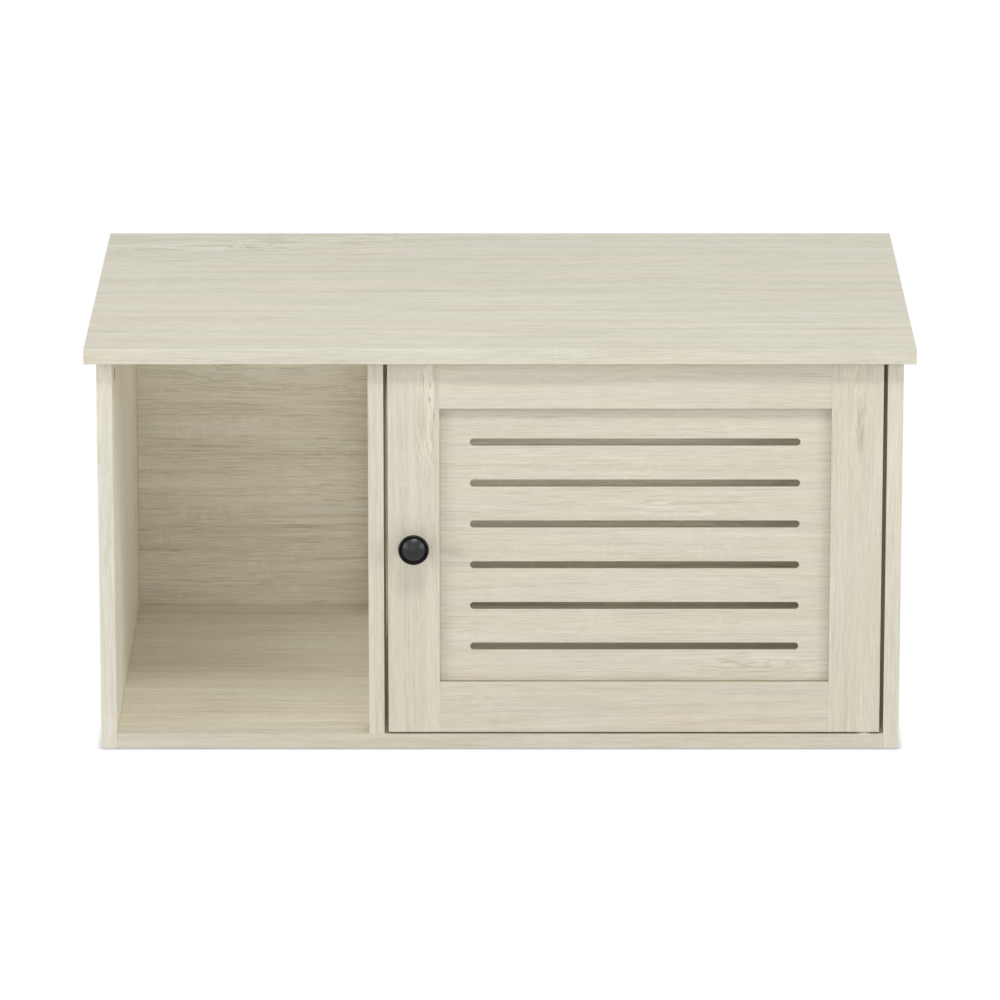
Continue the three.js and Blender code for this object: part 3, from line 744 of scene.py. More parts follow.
def carved(body: Shape, tools: Iterable[Shape]) -> Shape:
    """Cuts tools out of a solid.

    Args:
        body: The solid, which is used up.
        tools: What is cut out of it, which is used up too.

    Returns:
        What is left.
    """
    made = [added("carving", mesh_of(bm, "carving")) for bm in (body, *tools)]
    for tool in made[1:]:
        cut = made[0].modifiers.new("cut", "BOOLEAN")
        cut.operation = "DIFFERENCE"
        cut.solver = "EXACT"
        cut.object = tool
    result = bmesh.new()
    result.from_object(made[0], bpy.context.evaluated_depsgraph_get())
    for item in made:
        mesh = item.data
        bpy.data.objects.remove(item)
        bpy.data.meshes.remove(mesh)
    bmesh.ops.remove_doubles(result, verts=result.verts, dist=MERGE_DISTANCE)
    return result


def placing(place: Vector, z_axis: Vector, x_axis: Vector = RIGHT) -> Matrix:
    """The frame of a piece that is drawn along its own Z.

    Args:
        place: Where its origin goes.
        z_axis: Where its Z goes.
        x_axis: Where its X goes.

    Returns:
        The matrix.
    """
    turn = Matrix((x_axis, z_axis.cross(x_axis), z_axis)).transposed().to_4x4()
    return Matrix.Translation(place) @ turn


def set_in_place(
    bm: Shape, name: str, node: str, body: Body, stock: Stock, where: Matrix | None = None
) -> None:
    """Makes a finished piece of a mesh.

    Args:
        bm: The mesh, which is used up.
        name: The piece's name.
        node: The frame's node that it stands for.
        body: What it moves with.
        stock: What it is made of.
        where: The frame of a piece that is drawn along its own Z, which is shaded smooth too.
    """
    if where is not None:
        bm.transform(where)
        for face in bm.faces:
            face.smooth = True
        for edge in bm.edges:
            edge.smooth = edge.is_manifold and edge.calc_face_angle(math.pi) < SHARP_ANGLE
    piece = added(name, mesh_of(bm, name))
    for material in stock.materials:
        piece.data.materials.append(material)
    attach(piece, body.value)
    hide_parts(node)
    LOG.info("%s: %d faces, on %s", name, len(piece.data.polygons), body.value)


def dress(node: str, material: Material) -> None:
    """Gives a frame node that stays a finish.

    Args:
        node: The node's name.
        material: Its finish.
    """
    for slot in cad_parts[node].material_slots:
        slot.material = material
    LOG.info("%s: finished as it is", node)


# ---- Boards ----


@dataclass(frozen=True)
class Box:
    """A box along the frame's axes, between its low and its high corner."""

    low: Vector
    high: Vector

    def holds(self, point: Vector) -> bool:
        """Whether a point is inside it."""
        return all(low < part < high for low, part, high in zip(self.low, point, self.high))


class Cut(Enum):
    """The sorts of face on a board, with the number of the material that each takes."""

    SIDE = 0
    EDGE = 1
    END = 2
    CORE = 3
    BARE = 4


@dataclass
class Board:
    """A laminated board: a copy of its frame node with eased corners and a laminate on each side.

    Attributes:
        laminate: Its laminate, which names the board.
        body: What it moves with.
        easing: How far its corners are eased.
        shortest: The shortest corner that is eased.
        faced: A box in which cut faces are banded too.
        bare: A box in which an edge shows the board's fibre.
    """

    laminate: OakLaminate
    body: Body = Body.CABINET
    easing: float = 0.5 * MM
    shortest: float = 5 * MM
    faced: Box | None = None
    bare: Box | None = None

    def build(self, finishes: Finishes) -> None:
        """Makes the board.

        Args:
            finishes: The finishes, of which its cut faces take the cores.
        """
        node = self.laminate.board
        bm = cad_copy(node)
        ease(bm, lambda edge: is_outer_corner(edge, self.shortest), self.easing)
        low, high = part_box(node)
        thinnest = min(range(3), key=lambda k: high[k] - low[k])
        for face in bm.faces:
            face.material_index = self._cut(face, low, high, thinnest).value
        laminates = (self.laminate, self.laminate.edges(), self.laminate.ends())
        stock = Stock(Slot.OAK, (*(laminate.material() for laminate in laminates), *finishes.cores))
        set_in_place(bm, f"{node}_board", node, self.body, stock)

    def _cut(self, face: bmesh.types.BMFace, low: Vector, high: Vector, thinnest: int) -> Cut:
        """Tells what sort of face one is.

        Args:
            face: The face.
            low: The board's low corner.
            high: Its high corner.
            thinnest: The number of the axis through its thickness.

        Returns:
            The sort of face.
        """
        middle = face.calc_center_median()
        normal = [abs(part) for part in face.normal]
        outer = min(min(middle[k] - low[k], high[k] - middle[k]) for k in range(3)) < self.easing * 1.01
        if self.bare and self.bare.holds(middle) and normal[thinnest] < 0.5:
            return Cut.BARE
        if not outer and not (self.faced and self.faced.holds(middle)):
            return Cut.CORE
        if normal[self.laminate.grain.value] > 0.75:
            return Cut.END
        return Cut.SIDE if normal[thinnest] > 0.75 else Cut.EDGE


@dataclass
class Carcass:
    """The six boards of the cabinet."""

    finishes: Finishes
    doorway: Box = Box(Vector((-0.1290, -0.1185, 0.0640)), Vector((-0.1110, 0.1035, 0.3160)))

    def build(self) -> None:
        """Makes the boards."""
        top_knots = (Swirl(-0.300, 0.185, 0.090, 0.022, 1.1), Swirl(-0.170, 0.215, 0.080, 0.018, 1.1))
        back_knots = (Swirl(-0.215, 0.278, 0.085, 0.020, 0.6),)
        for laminate in (
            OakLaminate("top_panel", Axis.X, Axis.Y, 1, (0.985, 1.0, 1.0), 1.3, 1.1, top_knots),
            OakLaminate("left_side_panel", Axis.Z, Axis.Y, 2, (1.06, 1.075, 1.10)),
            OakLaminate("right_side_panel", Axis.Z, Axis.Y, 3, (1.01, 1.01, 1.02)),
            OakLaminate("divider_panel", Axis.Z, Axis.Y, 4),
            OakLaminate("bottom_panel", Axis.X, Axis.Y, 5, (0.93, 0.935, 0.93), 1.4, 1.3),
            OakLaminate("back_panel", Axis.X, Axis.Z, 6, (0.98, 0.985, 0.985), 1.7, 1.1, back_knots),
        ):
            Board(laminate, faced=self.doorway).build(self.finishes)


@dataclass
class SlottedPanel:
    """The thin fibreboard panel in the door, with six long slots that have round ends."""

    finishes: Finishes
    slot_length: float = 319 * MM
    slot_height: float = 7 * MM
    slot_count: int = 6
    lowest: float = 102.5 * MM
    highest: float = 307.5 * MM
    end_sides: int = 32
    easing: float = 0.25 * MM
    node: str = "door_slotted_panel"
    laminate: OakLaminate = OakLaminate(
        "slotted_panel", Axis.X, Axis.Z, 17, contrast=1.1,
        swirls=(Swirl(0.250, 0.084, 0.060, 0.012, 0.8), Swirl(0.170, 0.247, 0.080, 0.014, 0.35)),
    )

    def build(self) -> None:
        """Cuts the slots and makes the panel."""
        low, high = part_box(self.node)
        bm = bmesh.new()
        outline = ((low.x, low.z), (high.x, low.z), (high.x, high.z), (low.x, high.z))
        corners = [bm.verts.new((x, low.y, z)) for x, z in outline]
        for pair in zip(corners, corners[1:] + corners[:1]):
            bm.edges.new(pair)
        middle = (low.x + high.x) / 2
        for step in range(self.slot_count):
            height = self.lowest + (self.highest - self.lowest) * step / (self.slot_count - 1)
            self._outline(bm, Vector((middle, low.y, height)))
        filled = bmesh.ops.triangle_fill(bm, use_beauty=True, use_dissolve=True, edges=bm.edges)
        faces = [item for item in filled["geom"] if isinstance(item, bmesh.types.BMFace)]
        pulled = bmesh.ops.extrude_face_region(bm, geom=faces)
        moved = [item for item in pulled["geom"] if isinstance(item, bmesh.types.BMVert)]
        bmesh.ops.translate(bm, verts=moved, vec=(0.0, high.y - low.y, 0.0))
        bmesh.ops.recalc_face_normals(bm, faces=bm.faces)
        ease(bm, self._on_a_side, self.easing)
        for face in bm.faces:
            face.material_index = 0 if abs(face.normal.y) > 0.5 else 1
        stock = Stock(Slot.OAK, (self.laminate.material(), self.finishes.cores[1]))
        set_in_place(bm, f"{self.node}_board", self.node, Body.DOOR, stock)

    @staticmethod
    def _on_a_side(edge: Edge) -> bool:
        """Whether an edge is a corner of the front or of the back."""
        across = abs(edge.verts[0].co.y - edge.verts[1].co.y)
        return is_outer_corner(edge, 0.0) and across < MERGE_DISTANCE

    def _outline(self, bm: Shape, centre: Vector) -> None:
        """Draws one slot: a circle whose halves are pulled apart.

        Args:
            bm: The mesh that it is drawn in.
            centre: The slot's middle.
        """
        radius = self.slot_height / 2
        half_turn = math.pi / self.end_sides
        upright = Matrix.Rotation(math.pi / 2, 4, "X") @ Matrix.Rotation(half_turn, 4, "Z")
        place, reach = Matrix.Translation(centre) @ upright, radius / math.cos(half_turn)
        ring = bmesh.ops.create_circle(bm, segments=self.end_sides, radius=reach, matrix=place)["verts"]
        pull = self.slot_length / 2 - radius
        for vert in ring:
            vert.co.x += math.copysign(pull, vert.co.x - centre.x)


@dataclass
class Door:
    """The door's frame and its slotted panel.

    Attributes:
        finishes: The finishes.
        opening: The opening in the frame, whose edges are bare fibreboard.
    """

    finishes: Finishes
    opening: Box = Box(Vector((-0.0590, -0.2377, 0.0675)), Vector((0.3200, -0.2233, 0.3425)))

    def build(self) -> None:
        """Makes the four frame boards and the panel."""
        knob_side, hinge_side = Swirl(0.354, -0.069, 0.045, 0.010, 1.3), Swirl(0.350, 0.347, 0.040, 0.008)
        for laminate in (
            OakLaminate("door_knob_stile", Axis.Z, Axis.X, 7, swirls=(knob_side,)),
            OakLaminate("door_hinge_stile", Axis.Z, Axis.X, 8, swirls=(hinge_side,)),
            OakLaminate("door_top_rail", Axis.X, Axis.Z, 9),
            # The bottom rail's darker tone is painted shade, for the light that falls off near the floor.
            OakLaminate("door_bottom_rail", Axis.X, Axis.Z, 10, (0.965, 0.96, 0.955)),
        ):
            Board(laminate, Body.DOOR, 0.35 * MM, 10 * MM, bare=self.opening).build(self.finishes)
        SlottedPanel(self.finishes).build()


# ---- Hardware ----


@dataclass
class DrivenHead:
    """A screw with a pan or flat head and a cross recess, drawn with its tip up and its head below zero.

    Attributes:
        head: The head's diameter.
        head_height: Its height.
        shank: The shank's diameter.
        length: From the head's seat to the tip.
        flat: Whether the head is countersunk.
    """

    head: float
    head_height: float
    shank: float
    length: float
    flat: bool = False

    THREAD_PITCH = 1.2 * MM
    THREAD_ROOT = 0.78
    PAN_ROUNDING = 0.65
    FLAT_CHAMFER = 0.1 * MM
    RECESS_LENGTH = 0.55
    RECESS_WIDTH = 0.15
    RECESS_FLOOR = 0.35
    RECESS_TAPER = 0.6

    def mesh(self) -> Shape:
        """The screw's mesh.

        Returns:
            The mesh.
        """
        radius, top = self.head / 2, -self.head_height
        if self.flat:
            outside = [(0.0, top), (radius - self.FLAT_CHAMFER, top), (radius, top * 0.8)]
        else:
            flat = 1 - self.PAN_ROUNDING
            rounding = (radius * self.PAN_ROUNDING, self.head_height * self.PAN_ROUNDING)
            outside = [(0.0, top)] + arc((radius * flat, top * flat), rounding, -90, 0, 6)
        seat = [(radius, 0.0), (self.shank / 2, 0.0)]
        body = turned(outside + seat + self._thread() + [(0.0, self.length)])
        return carved(body, self._recess())

    def _thread(self) -> list[Pair]:
        """The profile of the threaded shank, as a row of crests.

        Returns:
            Its points.
        """
        crest, root = self.shank / 2, self.shank / 2 * self.THREAD_ROOT
        pitch = self.THREAD_PITCH
        points = [(root, 0.3 * pitch)]
        for turn in range(int((self.length - 2 * pitch) / pitch)):
            start = (turn + 0.5) * pitch
            points += [(root, start), (crest, start + 0.45 * pitch), (root, start + 0.9 * pitch)]
        return points + [(root * 0.9, self.length - pitch)]

    def _recess(self) -> list[Shape]:
        """Two crossed blades, narrower at the bottom of the recess.

        Returns:
            The blades.
        """
        long, wide = self.head * self.RECESS_LENGTH / 2, self.head * self.RECESS_WIDTH / 2
        top, bottom = -self.head_height - 0.1 * MM, -self.head_height * self.RECESS_FLOOR
        blades = []
        for x, y in ((long, wide), (wide, long)):
            blade = block((-x, -y, top), (x, y, bottom))
            for vert in blade.verts:
                if vert.co.z > (top + bottom) / 2:
                    vert.co.xy *= self.RECESS_TAPER
            blades.append(blade)
        return blades


@dataclass
class Knob:
    """The door's mushroom knob and the screw that holds it from behind."""

    finishes: Finishes
    place: Vector = field(default_factory=lambda: Vector((-0.0835, -0.238, 0.2055)))
    radius: float = 15 * MM
    projection: float = 22 * MM
    bore: float = 2.3 * MM
    bore_depth: float = 9.3 * MM
    foot: float = 8.5 * MM
    foot_edge: float = 0.4 * MM
    foot_cove: float = 2.1 * MM
    foot_height: float = 3.6 * MM
    neck: float = 6 * MM
    neck_height: float = 8.5 * MM
    cap_cove: float = 5.2 * MM
    cap_height: float = 8.9 * MM
    rim_width: float = 2.5 * MM
    rim_drop: float = 4 * MM
    lip: float = 1.1 * MM
    lip_height: float = 1.4 * MM
    groove: float = 1.8 * MM
    groove_width: float = 0.5 * MM
    groove_offset: float = 0.75 * MM
    groove_top: float = 0.8 * MM
    sides: int = 96
    door_thickness: float = 15 * MM
    screw: DrivenHead = field(default_factory=lambda: DrivenHead(8 * MM, 2.6 * MM, 4 * MM, 24 * MM))

    def build(self) -> None:
        """Makes the knob and its screw."""
        knob, where = turned(self._profile(), self.sides), placing(self.place, FORWARDS)
        set_in_place(knob, "knob_turned", "door_knob", Body.DOOR, self.finishes.black, where)
        where = placing(self.place + BACKWARDS * self.door_thickness, FORWARDS)
        screw, steel = self.screw.mesh(), self.finishes.steel
        set_in_place(screw, "knob_screw_driven", "door_knob_screw", Body.DOOR, steel, where)

    def _profile(self) -> list[Pair]:
        """From the screw's bore over the foot, the neck, the cap, the lip and the groove to the dome.

        Returns:
            The profile.
        """
        edge, rim = self.foot_edge, self.projection - self.rim_drop
        profile = [(0.0, self.bore_depth), (self.bore, self.bore_depth), (self.bore, 0.0)]
        profile += arc((self.foot - edge, edge), (edge, edge), -90, 0, 3)
        profile += arc((self.foot, self.foot_height), (self.foot - self.neck, self.foot_cove), 270, 180, 6)
        profile += [(self.neck, self.neck_height)]
        cove = (self.cap_cove, self.cap_cove)
        profile += arc((self.neck + self.cap_cove, self.cap_height), cove, 180, 100, 6)
        inside = self.radius - self.lip
        profile += arc((inside, rim - self.lip_height), (self.lip, self.lip_height), -80, 100, 12)
        groove = (self.groove_width, self.groove)
        profile += arc((inside - self.groove_offset, rim - self.groove_top), groove, 0, -150, 8)
        dome, rise = self.radius - self.rim_width, self.rim_drop + self.groove
        sphere = (dome**2 + rise**2) / (2 * rise)
        start = math.degrees(math.acos(dome / sphere))
        return profile + arc((0.0, self.projection - sphere), (sphere, sphere), start, 90, 20)


@dataclass
class Pivots:
    """The door's two pivot pins, each in a flanged bush."""

    finishes: Finishes
    x: float = 354.5 * MM
    y: float = -230.5 * MM
    floor: float = 15 * MM
    ceiling: float = 389 * MM
    pin: float = 3 * MM
    pin_edge: float = 0.25 * MM
    collar: float = 6 * MM
    bush: float = 5 * MM
    bush_edge: float = 0.3 * MM
    flange: float = 7 * MM
    flange_thickness: float = 0.8 * MM
    bush_depth: float = 9 * MM
    bush_floor: float = 1 * MM
    clearance: float = 0.3 * MM
    end_gap: float = 2 * MM
    pin_in_door: float = 14 * MM

    def build(self) -> None:
        """Makes both pins and both bushes."""
        for end, seat, outward in (("lower", self.floor, UP), ("upper", self.ceiling, DOWN)):
            where = Vector((self.x, self.y, seat))
            node = f"{end}_pivot_bush"
            nylon, steel = self.finishes.nylon, self.finishes.steel
            set_in_place(self._bush(), f"{node}_moulded", node, Body.CABINET, nylon, placing(where, outward))
            where += outward * self.end_gap
            node = f"{end}_pivot_pin"
            set_in_place(self._pin(), f"{node}_turned", node, Body.DOOR, steel, placing(where, outward))

    def _bush(self) -> Shape:
        """The bush, with its flange's seat at zero and its mouth up.

        Returns:
            Its mesh.
        """
        edge, top, depth = self.bush_edge, self.flange_thickness, self.bush_depth
        hole = self.pin + self.clearance
        floor = self.bush_floor - depth
        profile = [(0.0, -depth), (self.bush - edge, -depth), (self.bush, edge - depth)]
        profile += [(self.bush, 0.0), (self.flange, 0.0)]
        profile += arc((self.flange - edge, top - edge), (edge, edge), 0, 90, 3)
        profile += [(hole + edge, top), (hole, top - edge), (hole, floor), (0.0, floor)]
        return turned(profile)

    def _pin(self) -> Shape:
        """The pin, with the door's end at zero and the door's side up.

        Returns:
            Its mesh.
        """
        edge, end = self.pin_edge, self.pin_in_door
        thickness = self.end_gap - self.flange_thickness - self.clearance
        tip = -self.end_gap + self.bush_floor - self.bush_depth + self.clearance
        profile = [(0.0, tip), (self.pin - 2 * edge, tip), (self.pin, tip + 2 * edge)]
        profile += [(self.pin, -thickness), (self.collar - edge, -thickness)]
        profile += [(self.collar, edge - thickness), (self.collar, 0.0)]
        profile += [(self.pin, 0.0), (self.pin, end - edge), (self.pin - edge, end), (0.0, end)]
        return turned(profile)


@dataclass
class Catch:
    """The magnetic catch under the top, and the strike plate on the door that it holds."""

    finishes: Finishes
    ear_underside: float = 385 * MM
    screw_y: float = -213.2 * MM
    screw_x: Pair = (-102.0 * MM, -65.0 * MM)
    strike: Vector = field(default_factory=lambda: Vector((-0.0835, -0.223, 0.3805)))
    pole_plate: float = 1.6 * MM
    shortest: float = 0.9 * MM

    def build(self) -> None:
        """Makes the catch, the plate and their screws."""
        steel = self.finishes.steel
        for node, body, stock, easing in (
            ("catch_housing", Body.CABINET, self.finishes.ivory, 0.6 * MM),
            ("catch_magnet", Body.CABINET, self.finishes.magnet, 0.15 * MM),
            ("strike_plate", Body.DOOR, steel, 0.3 * MM),
        ):
            bm = cad_copy(node)
            ease(bm, lambda edge: is_outer_corner(edge, self.shortest), easing)
            if stock is self.finishes.magnet:
                self._number_poles(bm, node)
            set_in_place(bm, f"{node}_eased", node, body, stock)
        for side, x in zip(("left", "right"), self.screw_x):
            screw = DrivenHead(6.5 * MM, 2.2 * MM, 3.5 * MM, 15 * MM).mesh()
            node = f"catch_screw_{side}"
            where = placing(Vector((x, self.screw_y, self.ear_underside)), UP)
            set_in_place(screw, f"{node}_driven", node, Body.CABINET, steel, where)
        screw = DrivenHead(6 * MM, 0.9 * MM, 3 * MM, 10 * MM, flat=True).mesh()
        where = placing(self.strike, FORWARDS)
        set_in_place(screw, "strike_screw_driven", "strike_screw", Body.DOOR, steel, where)

    def _number_poles(self, bm: Shape, node: str) -> None:
        """Makes the magnet's two outer plates steel.

        Args:
            bm: The magnet's mesh.
            node: Its node.
        """
        low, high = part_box(node)
        for face in bm.faces:
            height = face.calc_center_median().z
            face.material_index = int(min(height - low.z, high.z - height) < self.pole_plate)


@dataclass
class CamJoints:
    """The cam locks, each with a cross recess and an arrow that points at its bolt."""

    finishes: Finishes
    radius: float = 7.2 * MM
    height: float = 11.2 * MM
    edge: float = 0.4 * MM
    axis_height: float = 7.0 * MM
    chamber: float = 3.7 * MM
    neck: float = 2.5 * MM
    claw: float = 2.0 * MM
    drive_long: float = 4.0 * MM
    drive_wide: float = 0.8 * MM
    drive_depth: float = 2.5 * MM
    ring: float = 5.4 * MM
    ring_depth: float = 0.25 * MM
    arrow: float = 0.8 * MM
    arrow_place: float = 6.15 * MM
    spare: float = 1.0 * MM

    SETS = (
        ("left_top", ("front", "rear"), RIGHT, UP),
        ("right_top", ("front", "rear"), LEFT, UP),
        ("divider_top", ("front", "rear"), RIGHT, UP),
        ("left_bottom", ("front", "rear"), DOWN, LEFT),
        ("right_bottom", ("front", "rear"), DOWN, RIGHT),
        ("left_back", ("lower", "upper"), BACKWARDS, LEFT),
        ("right_back", ("lower", "upper"), BACKWARDS, RIGHT),
    )

    def build(self) -> None:
        """Makes every cam, and gives every bolt its finish."""
        pattern = mesh_of(self._cam(), "cam_pattern")
        for joint, ends, face, bolt in self.SETS:
            for end in ends:
                node = f"{joint}_{end}_cam_lock"
                low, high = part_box(node)
                where = placing((low + high) / 2 + face * (self.height / 2), face, bolt)
                cam = bmesh.new()
                cam.from_mesh(pattern)
                set_in_place(cam, f"{node}_cast", node, Body.CABINET, self.finishes.zinc, where)
                dress(f"{joint}_{end}_cam_bolt", self.finishes.steel.materials[0])
        bpy.data.meshes.remove(pattern)

    def _cam(self) -> Shape:
        """One cam, with its face up at zero and its bolt towards X.

        Returns:
            Its mesh.
        """
        edge, deep, foot = self.edge, self.ring_depth, -self.height
        profile = [(0.0, foot), (self.radius - edge, foot), (self.radius, foot + edge)]
        profile += [(self.radius, -edge), (self.radius - edge, 0.0)]
        profile += [(self.ring + 2 * deep, 0.0), (self.ring + deep, -deep)]
        profile += [(self.ring - deep, -deep), (self.ring - 2 * deep, 0.0), (0.0, 0.0)]
        long, wide, depth = self.drive_long, self.drive_wide, self.drive_depth
        tools = [
            block((-long, -wide, -depth), (long, wide, self.spare)),
            block((-wide, -long, -depth), (wide, long, self.spare)),
            self._bore(self.chamber, self.claw, -2 * self.radius),
            self._bore(self.neck, 0.0, 2 * self.radius),
            self._arrow(),
        ]
        return carved(turned(profile), tools)

    def _bore(self, radius: float, start: float, end: float) -> Shape:
        """A round tool along the bolt's axis.

        Args:
            radius: Its radius.
            start: The X of its flat end inside the cam.
            end: The X of its other end.

        Returns:
            The tool.
        """
        length = abs(end - start)
        bm = turned([(0.0, 0.0), (radius, 0.0), (radius, length), (0.0, length)], 32)
        direction = RIGHT if end > start else LEFT
        bm.transform(placing(Vector((start, 0.0, -self.axis_height)), direction, UP))
        return bm

    def _arrow(self) -> Shape:
        """A small three-cornered mark on the face, on the bolt's side.

        Returns:
            Its tool.
        """
        bm = bmesh.new()
        place = Matrix.Translation((self.arrow_place, 0.0, 0.2 * MM)) @ Matrix.Rotation(-math.pi / 2, 4, "Z")
        radii = {"radius1": self.arrow, "radius2": self.arrow}
        bmesh.ops.create_cone(bm, cap_ends=True, segments=3, depth=self.spare, matrix=place, **radii)
        return bm


@dataclass
class Dowels:
    """The wooden dowels, which stay as the frame has them."""

    upright: tuple[str, ...] = ("left_top", "right_top", "divider_bottom_front", "divider_bottom_rear")
    level: tuple[str, ...] = ("left_bottom", "right_bottom")

    def build(self) -> None:
        """Gives each dowel beech with the grain along it."""
        for joints, grain in ((self.upright, Axis.Z), (self.level, Axis.X)):
            beech = BareBeech(grain).material()
            for joint in joints:
                dress(f"{joint}_dowel", beech)


# ---- Studio ----


@dataclass(frozen=True)
class Softbox:
    """A round or oval lamp that gives the cabinet a plain level of light.

    Attributes:
        name: The lamp's name.
        azimuth: Where it stands, in degrees from the front towards the right.
        elevation: How high it stands, in degrees.
        distance: How far from the cabinet, in metres.
        size: Its width and height, in metres.
        level: The light on a surface that faces it, where 1 shows a colour as it is written.
    """

    name: str
    azimuth: float
    elevation: float
    distance: float
    size: Pair
    level: float

    def build(self, target: Vector) -> None:
        """Hangs the lamp.

        Args:
            target: What it looks at.
        """
        a, e = math.radians(self.azimuth), math.radians(self.elevation)
        out = Vector((math.sin(a) * math.cos(e), -math.cos(a) * math.cos(e), math.sin(e)))
        power = self.level * (math.pi * self.distance) ** 2
        hang(self.name, "ELLIPSE", self.size, power, target + out * self.distance, -out)


@dataclass(frozen=True)
class RoomGlow:
    """A hidden lamp on one side of a compartment, for the light that a bright, wide studio sends into it.

    Attributes:
        name: The lamp's name.
        place: Its middle.
        facing: Where it shines.
        size: Its size along X, or along Y where it faces sideways, and its other size.
        level: How bright it is, where 1 beside a surface shows a colour as it is written.
    """

    name: str
    place: Vector
    facing: Vector
    size: Pair
    level: float

    def build(self) -> None:
        """Hangs the lamp where the camera doesn't see it."""
        power = self.level * math.pi * self.size[0] * self.size[1]
        lamp = hang(self.name, "RECTANGLE", self.size, power, self.place, self.facing)
        lamp.visible_camera = False


def hang(name: str, shape: str, size: Pair, power: float, place: Vector, facing: Vector) -> bpy.types.Object:
    """Hangs an area lamp.

    Args:
        name: The lamp's name.
        shape: Its shape.
        size: Its width and height.
        power: Its power, in watts.
        place: Where its middle is.
        facing: Where it shines.

    Returns:
        The lamp.
    """
    lamp = bpy.data.lights.new(name, "AREA")
    lamp.shape = shape
    lamp.size, lamp.size_y = size
    lamp.energy = power
    item = added(name, lamp)
    item.location = place
    item.rotation_euler = facing.to_track_quat("-Z", "Y").to_euler()
    LOG.info("%s: %.1f W", name, power)
    return item


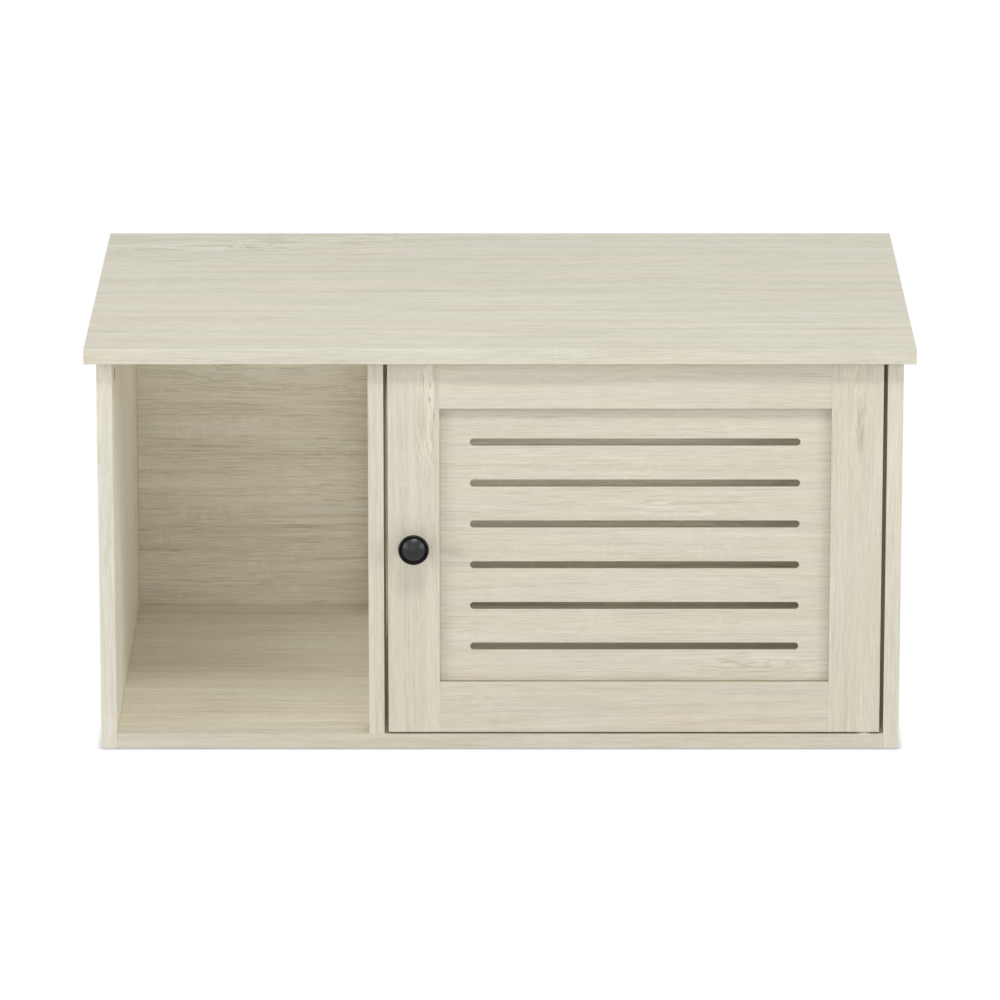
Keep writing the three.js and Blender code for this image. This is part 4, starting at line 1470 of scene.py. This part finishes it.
@dataclass
class Studio:
    """The floor, the lamps, the world and the camera."""

    target: Vector = field(default_factory=lambda: Vector((0.0, 0.0, 0.1874)))
    elevation: float = 14.99
    distance: float = 7.2
    lens: float = 259.0
    floor_radius: float = 1.8
    floor_drop: float = 0.2 * MM
    contact: float = 7 * MM
    contact_shade: float = 0.78
    floor_glow: float = 0.96
    ambient: float = 0.42
    lamps: tuple[Softbox, ...] = (
        Softbox("key_softbox", 4, 59, 2.6, (1.30, 0.38), 0.31),
        Softbox("front_softbox", -4, 10, 4.0, (2.60, 2.60), 0.10),
        Softbox("right_softbox", 58, 14, 3.2, (1.60, 1.60), 0.22),
        Softbox("left_softbox", -58, 14, 3.2, (1.60, 1.60), 0.22),
        Softbox("rear_right_softbox", 132, 14, 3.2, (1.60, 1.60), 0.20),
        Softbox("rear_left_softbox", -132, 14, 3.2, (1.60, 1.60), 0.20),
    )
    glows: tuple[RoomGlow, ...] = (
        RoomGlow("open_room_side_glow", Vector((-0.1285, -0.010, 0.202)), LEFT, (0.400, 0.373), 0.42),
        RoomGlow("open_room_low_glow", Vector((-0.1285, 0.060, 0.110)), LEFT, (0.280, 0.150), 0.19),
        RoomGlow("open_room_top_glow", Vector((-0.2505, 0.110, 0.3885)), DOWN, (0.245, 0.200), 0.49),
        RoomGlow("closed_room_back_glow", Vector((0.070, 0.110, 0.170)), BACKWARDS, (0.400, 0.100), 0.54),
        RoomGlow("closed_room_floor_glow", Vector((0.085, 0.080, 0.300)), DOWN, (0.400, 0.140), 0.60),
    )

    def build(self) -> None:
        """Sets the whole studio up."""
        bpy.context.scene.view_settings.view_transform = "Standard"
        self._floor()
        self._world()
        for lamp in self.lamps:
            lamp.build(self.target)
        for glow in self.glows:
            glow.build()
        self._camera()

    @staticmethod
    def _seen(graph: Graph) -> Value:
        """Tells what is looked at from what only lights.

        Args:
            graph: The graph that it is added to.

        Returns:
            1 for rays from the camera and rays that a gloss or glass sends on, 0 for light.
        """
        path = graph.node("ShaderNodeLightPath").outputs
        total = Value(graph, path["Is Camera Ray"]) + Value(graph, path["Is Glossy Ray"])
        return graph.math("MINIMUM", total + Value(graph, path["Is Transmission Ray"]), 1.0)

    def _floor(self) -> None:
        """A round white floor that keeps a faint shadow, with a painted contact shadow, a dark line where
        something stands on it.
        """
        bm = bmesh.new()
        bmesh.ops.create_circle(bm, cap_ends=True, segments=96, radius=self.floor_radius)
        floor = added("studio_floor", mesh_of(bm, "studio_floor"))
        floor.location.z = -self.floor_drop
        material = bpy.data.materials.new("studio_floor")
        graph = Graph(material)
        plain = graph.node("ShaderNodeBsdfDiffuse", inputs={"Color": (0.65, 0.65, 0.645, 1.0)})
        matt = graph.node("ShaderNodeBsdfDiffuse", inputs={"Color": (0.06, 0.06, 0.06, 1.0)})
        # Painted contact shadow: ambient occlusion within the contact reach darkens the floor's shown white
        # towards this grey.
        reach = {"Distance": self.contact}
        free = graph.value("ShaderNodeAmbientOcclusion", {"samples": 8}, reach, output="AO")
        shaded = (self.floor_glow * (1.0 - self.contact_shade),) * 3
        glow = graph.mix(free, shaded, (self.floor_glow,) * 3)
        white = graph.node("ShaderNodeEmission", inputs={"Color": glow, "Strength": 1.0})
        shown = graph.node("ShaderNodeAddShader", inputs={0: matt.outputs[0], 1: white.outputs[0]})
        parts = {0: self._seen(graph), 1: plain.outputs[0], 2: shown.outputs[0]}
        both = graph.node("ShaderNodeMixShader", inputs=parts)
        graph.node("ShaderNodeOutputMaterial", inputs={"Surface": both.outputs[0]})
        floor.data.materials.append(material)

    def _world(self) -> None:
        """An even sky, which shows white."""
        world = bpy.data.worlds.new("studio_world")
        bpy.context.scene.world = world
        graph = Graph(world)
        strength = self._seen(graph) * (1.0 - self.ambient) + self.ambient
        light = {"Color": (1.0, 1.0, 1.0, 1.0), "Strength": strength}
        sky = graph.node("ShaderNodeBackground", inputs=light)
        graph.node("ShaderNodeOutputWorld", inputs={"Surface": sky.outputs[0]})

    def _camera(self) -> None:
        """A long lens in front of the cabinet, tilted down at it."""
        lens = bpy.data.cameras.new("studio_camera")
        lens.lens = self.lens
        lens.sensor_width = 36.0
        lens.clip_end = 60.0
        camera = added("studio_camera", lens)
        e = math.radians(self.elevation)
        camera.location = self.target + Vector((0.0, -math.cos(e), math.sin(e))) * self.distance
        camera.rotation_euler = (math.pi / 2 - e, 0.0, 0.0)
        bpy.context.scene.camera = camera
        LOG.info("camera: %.0f mm at %.1f m", self.lens, self.distance)


def main() -> None:
    """Builds the cabinet and its studio."""
    logging.basicConfig(level=logging.INFO, format="%(name)s %(message)s")
    finishes = Finishes()
    for part in (
        Carcass(finishes),
        Door(finishes),
        Knob(finishes),
        Pivots(finishes),
        Catch(finishes),
        CamJoints(finishes),
        Dowels(),
        Studio(),
    ):
        part.build()


if __name__ == "__main__":
    main()
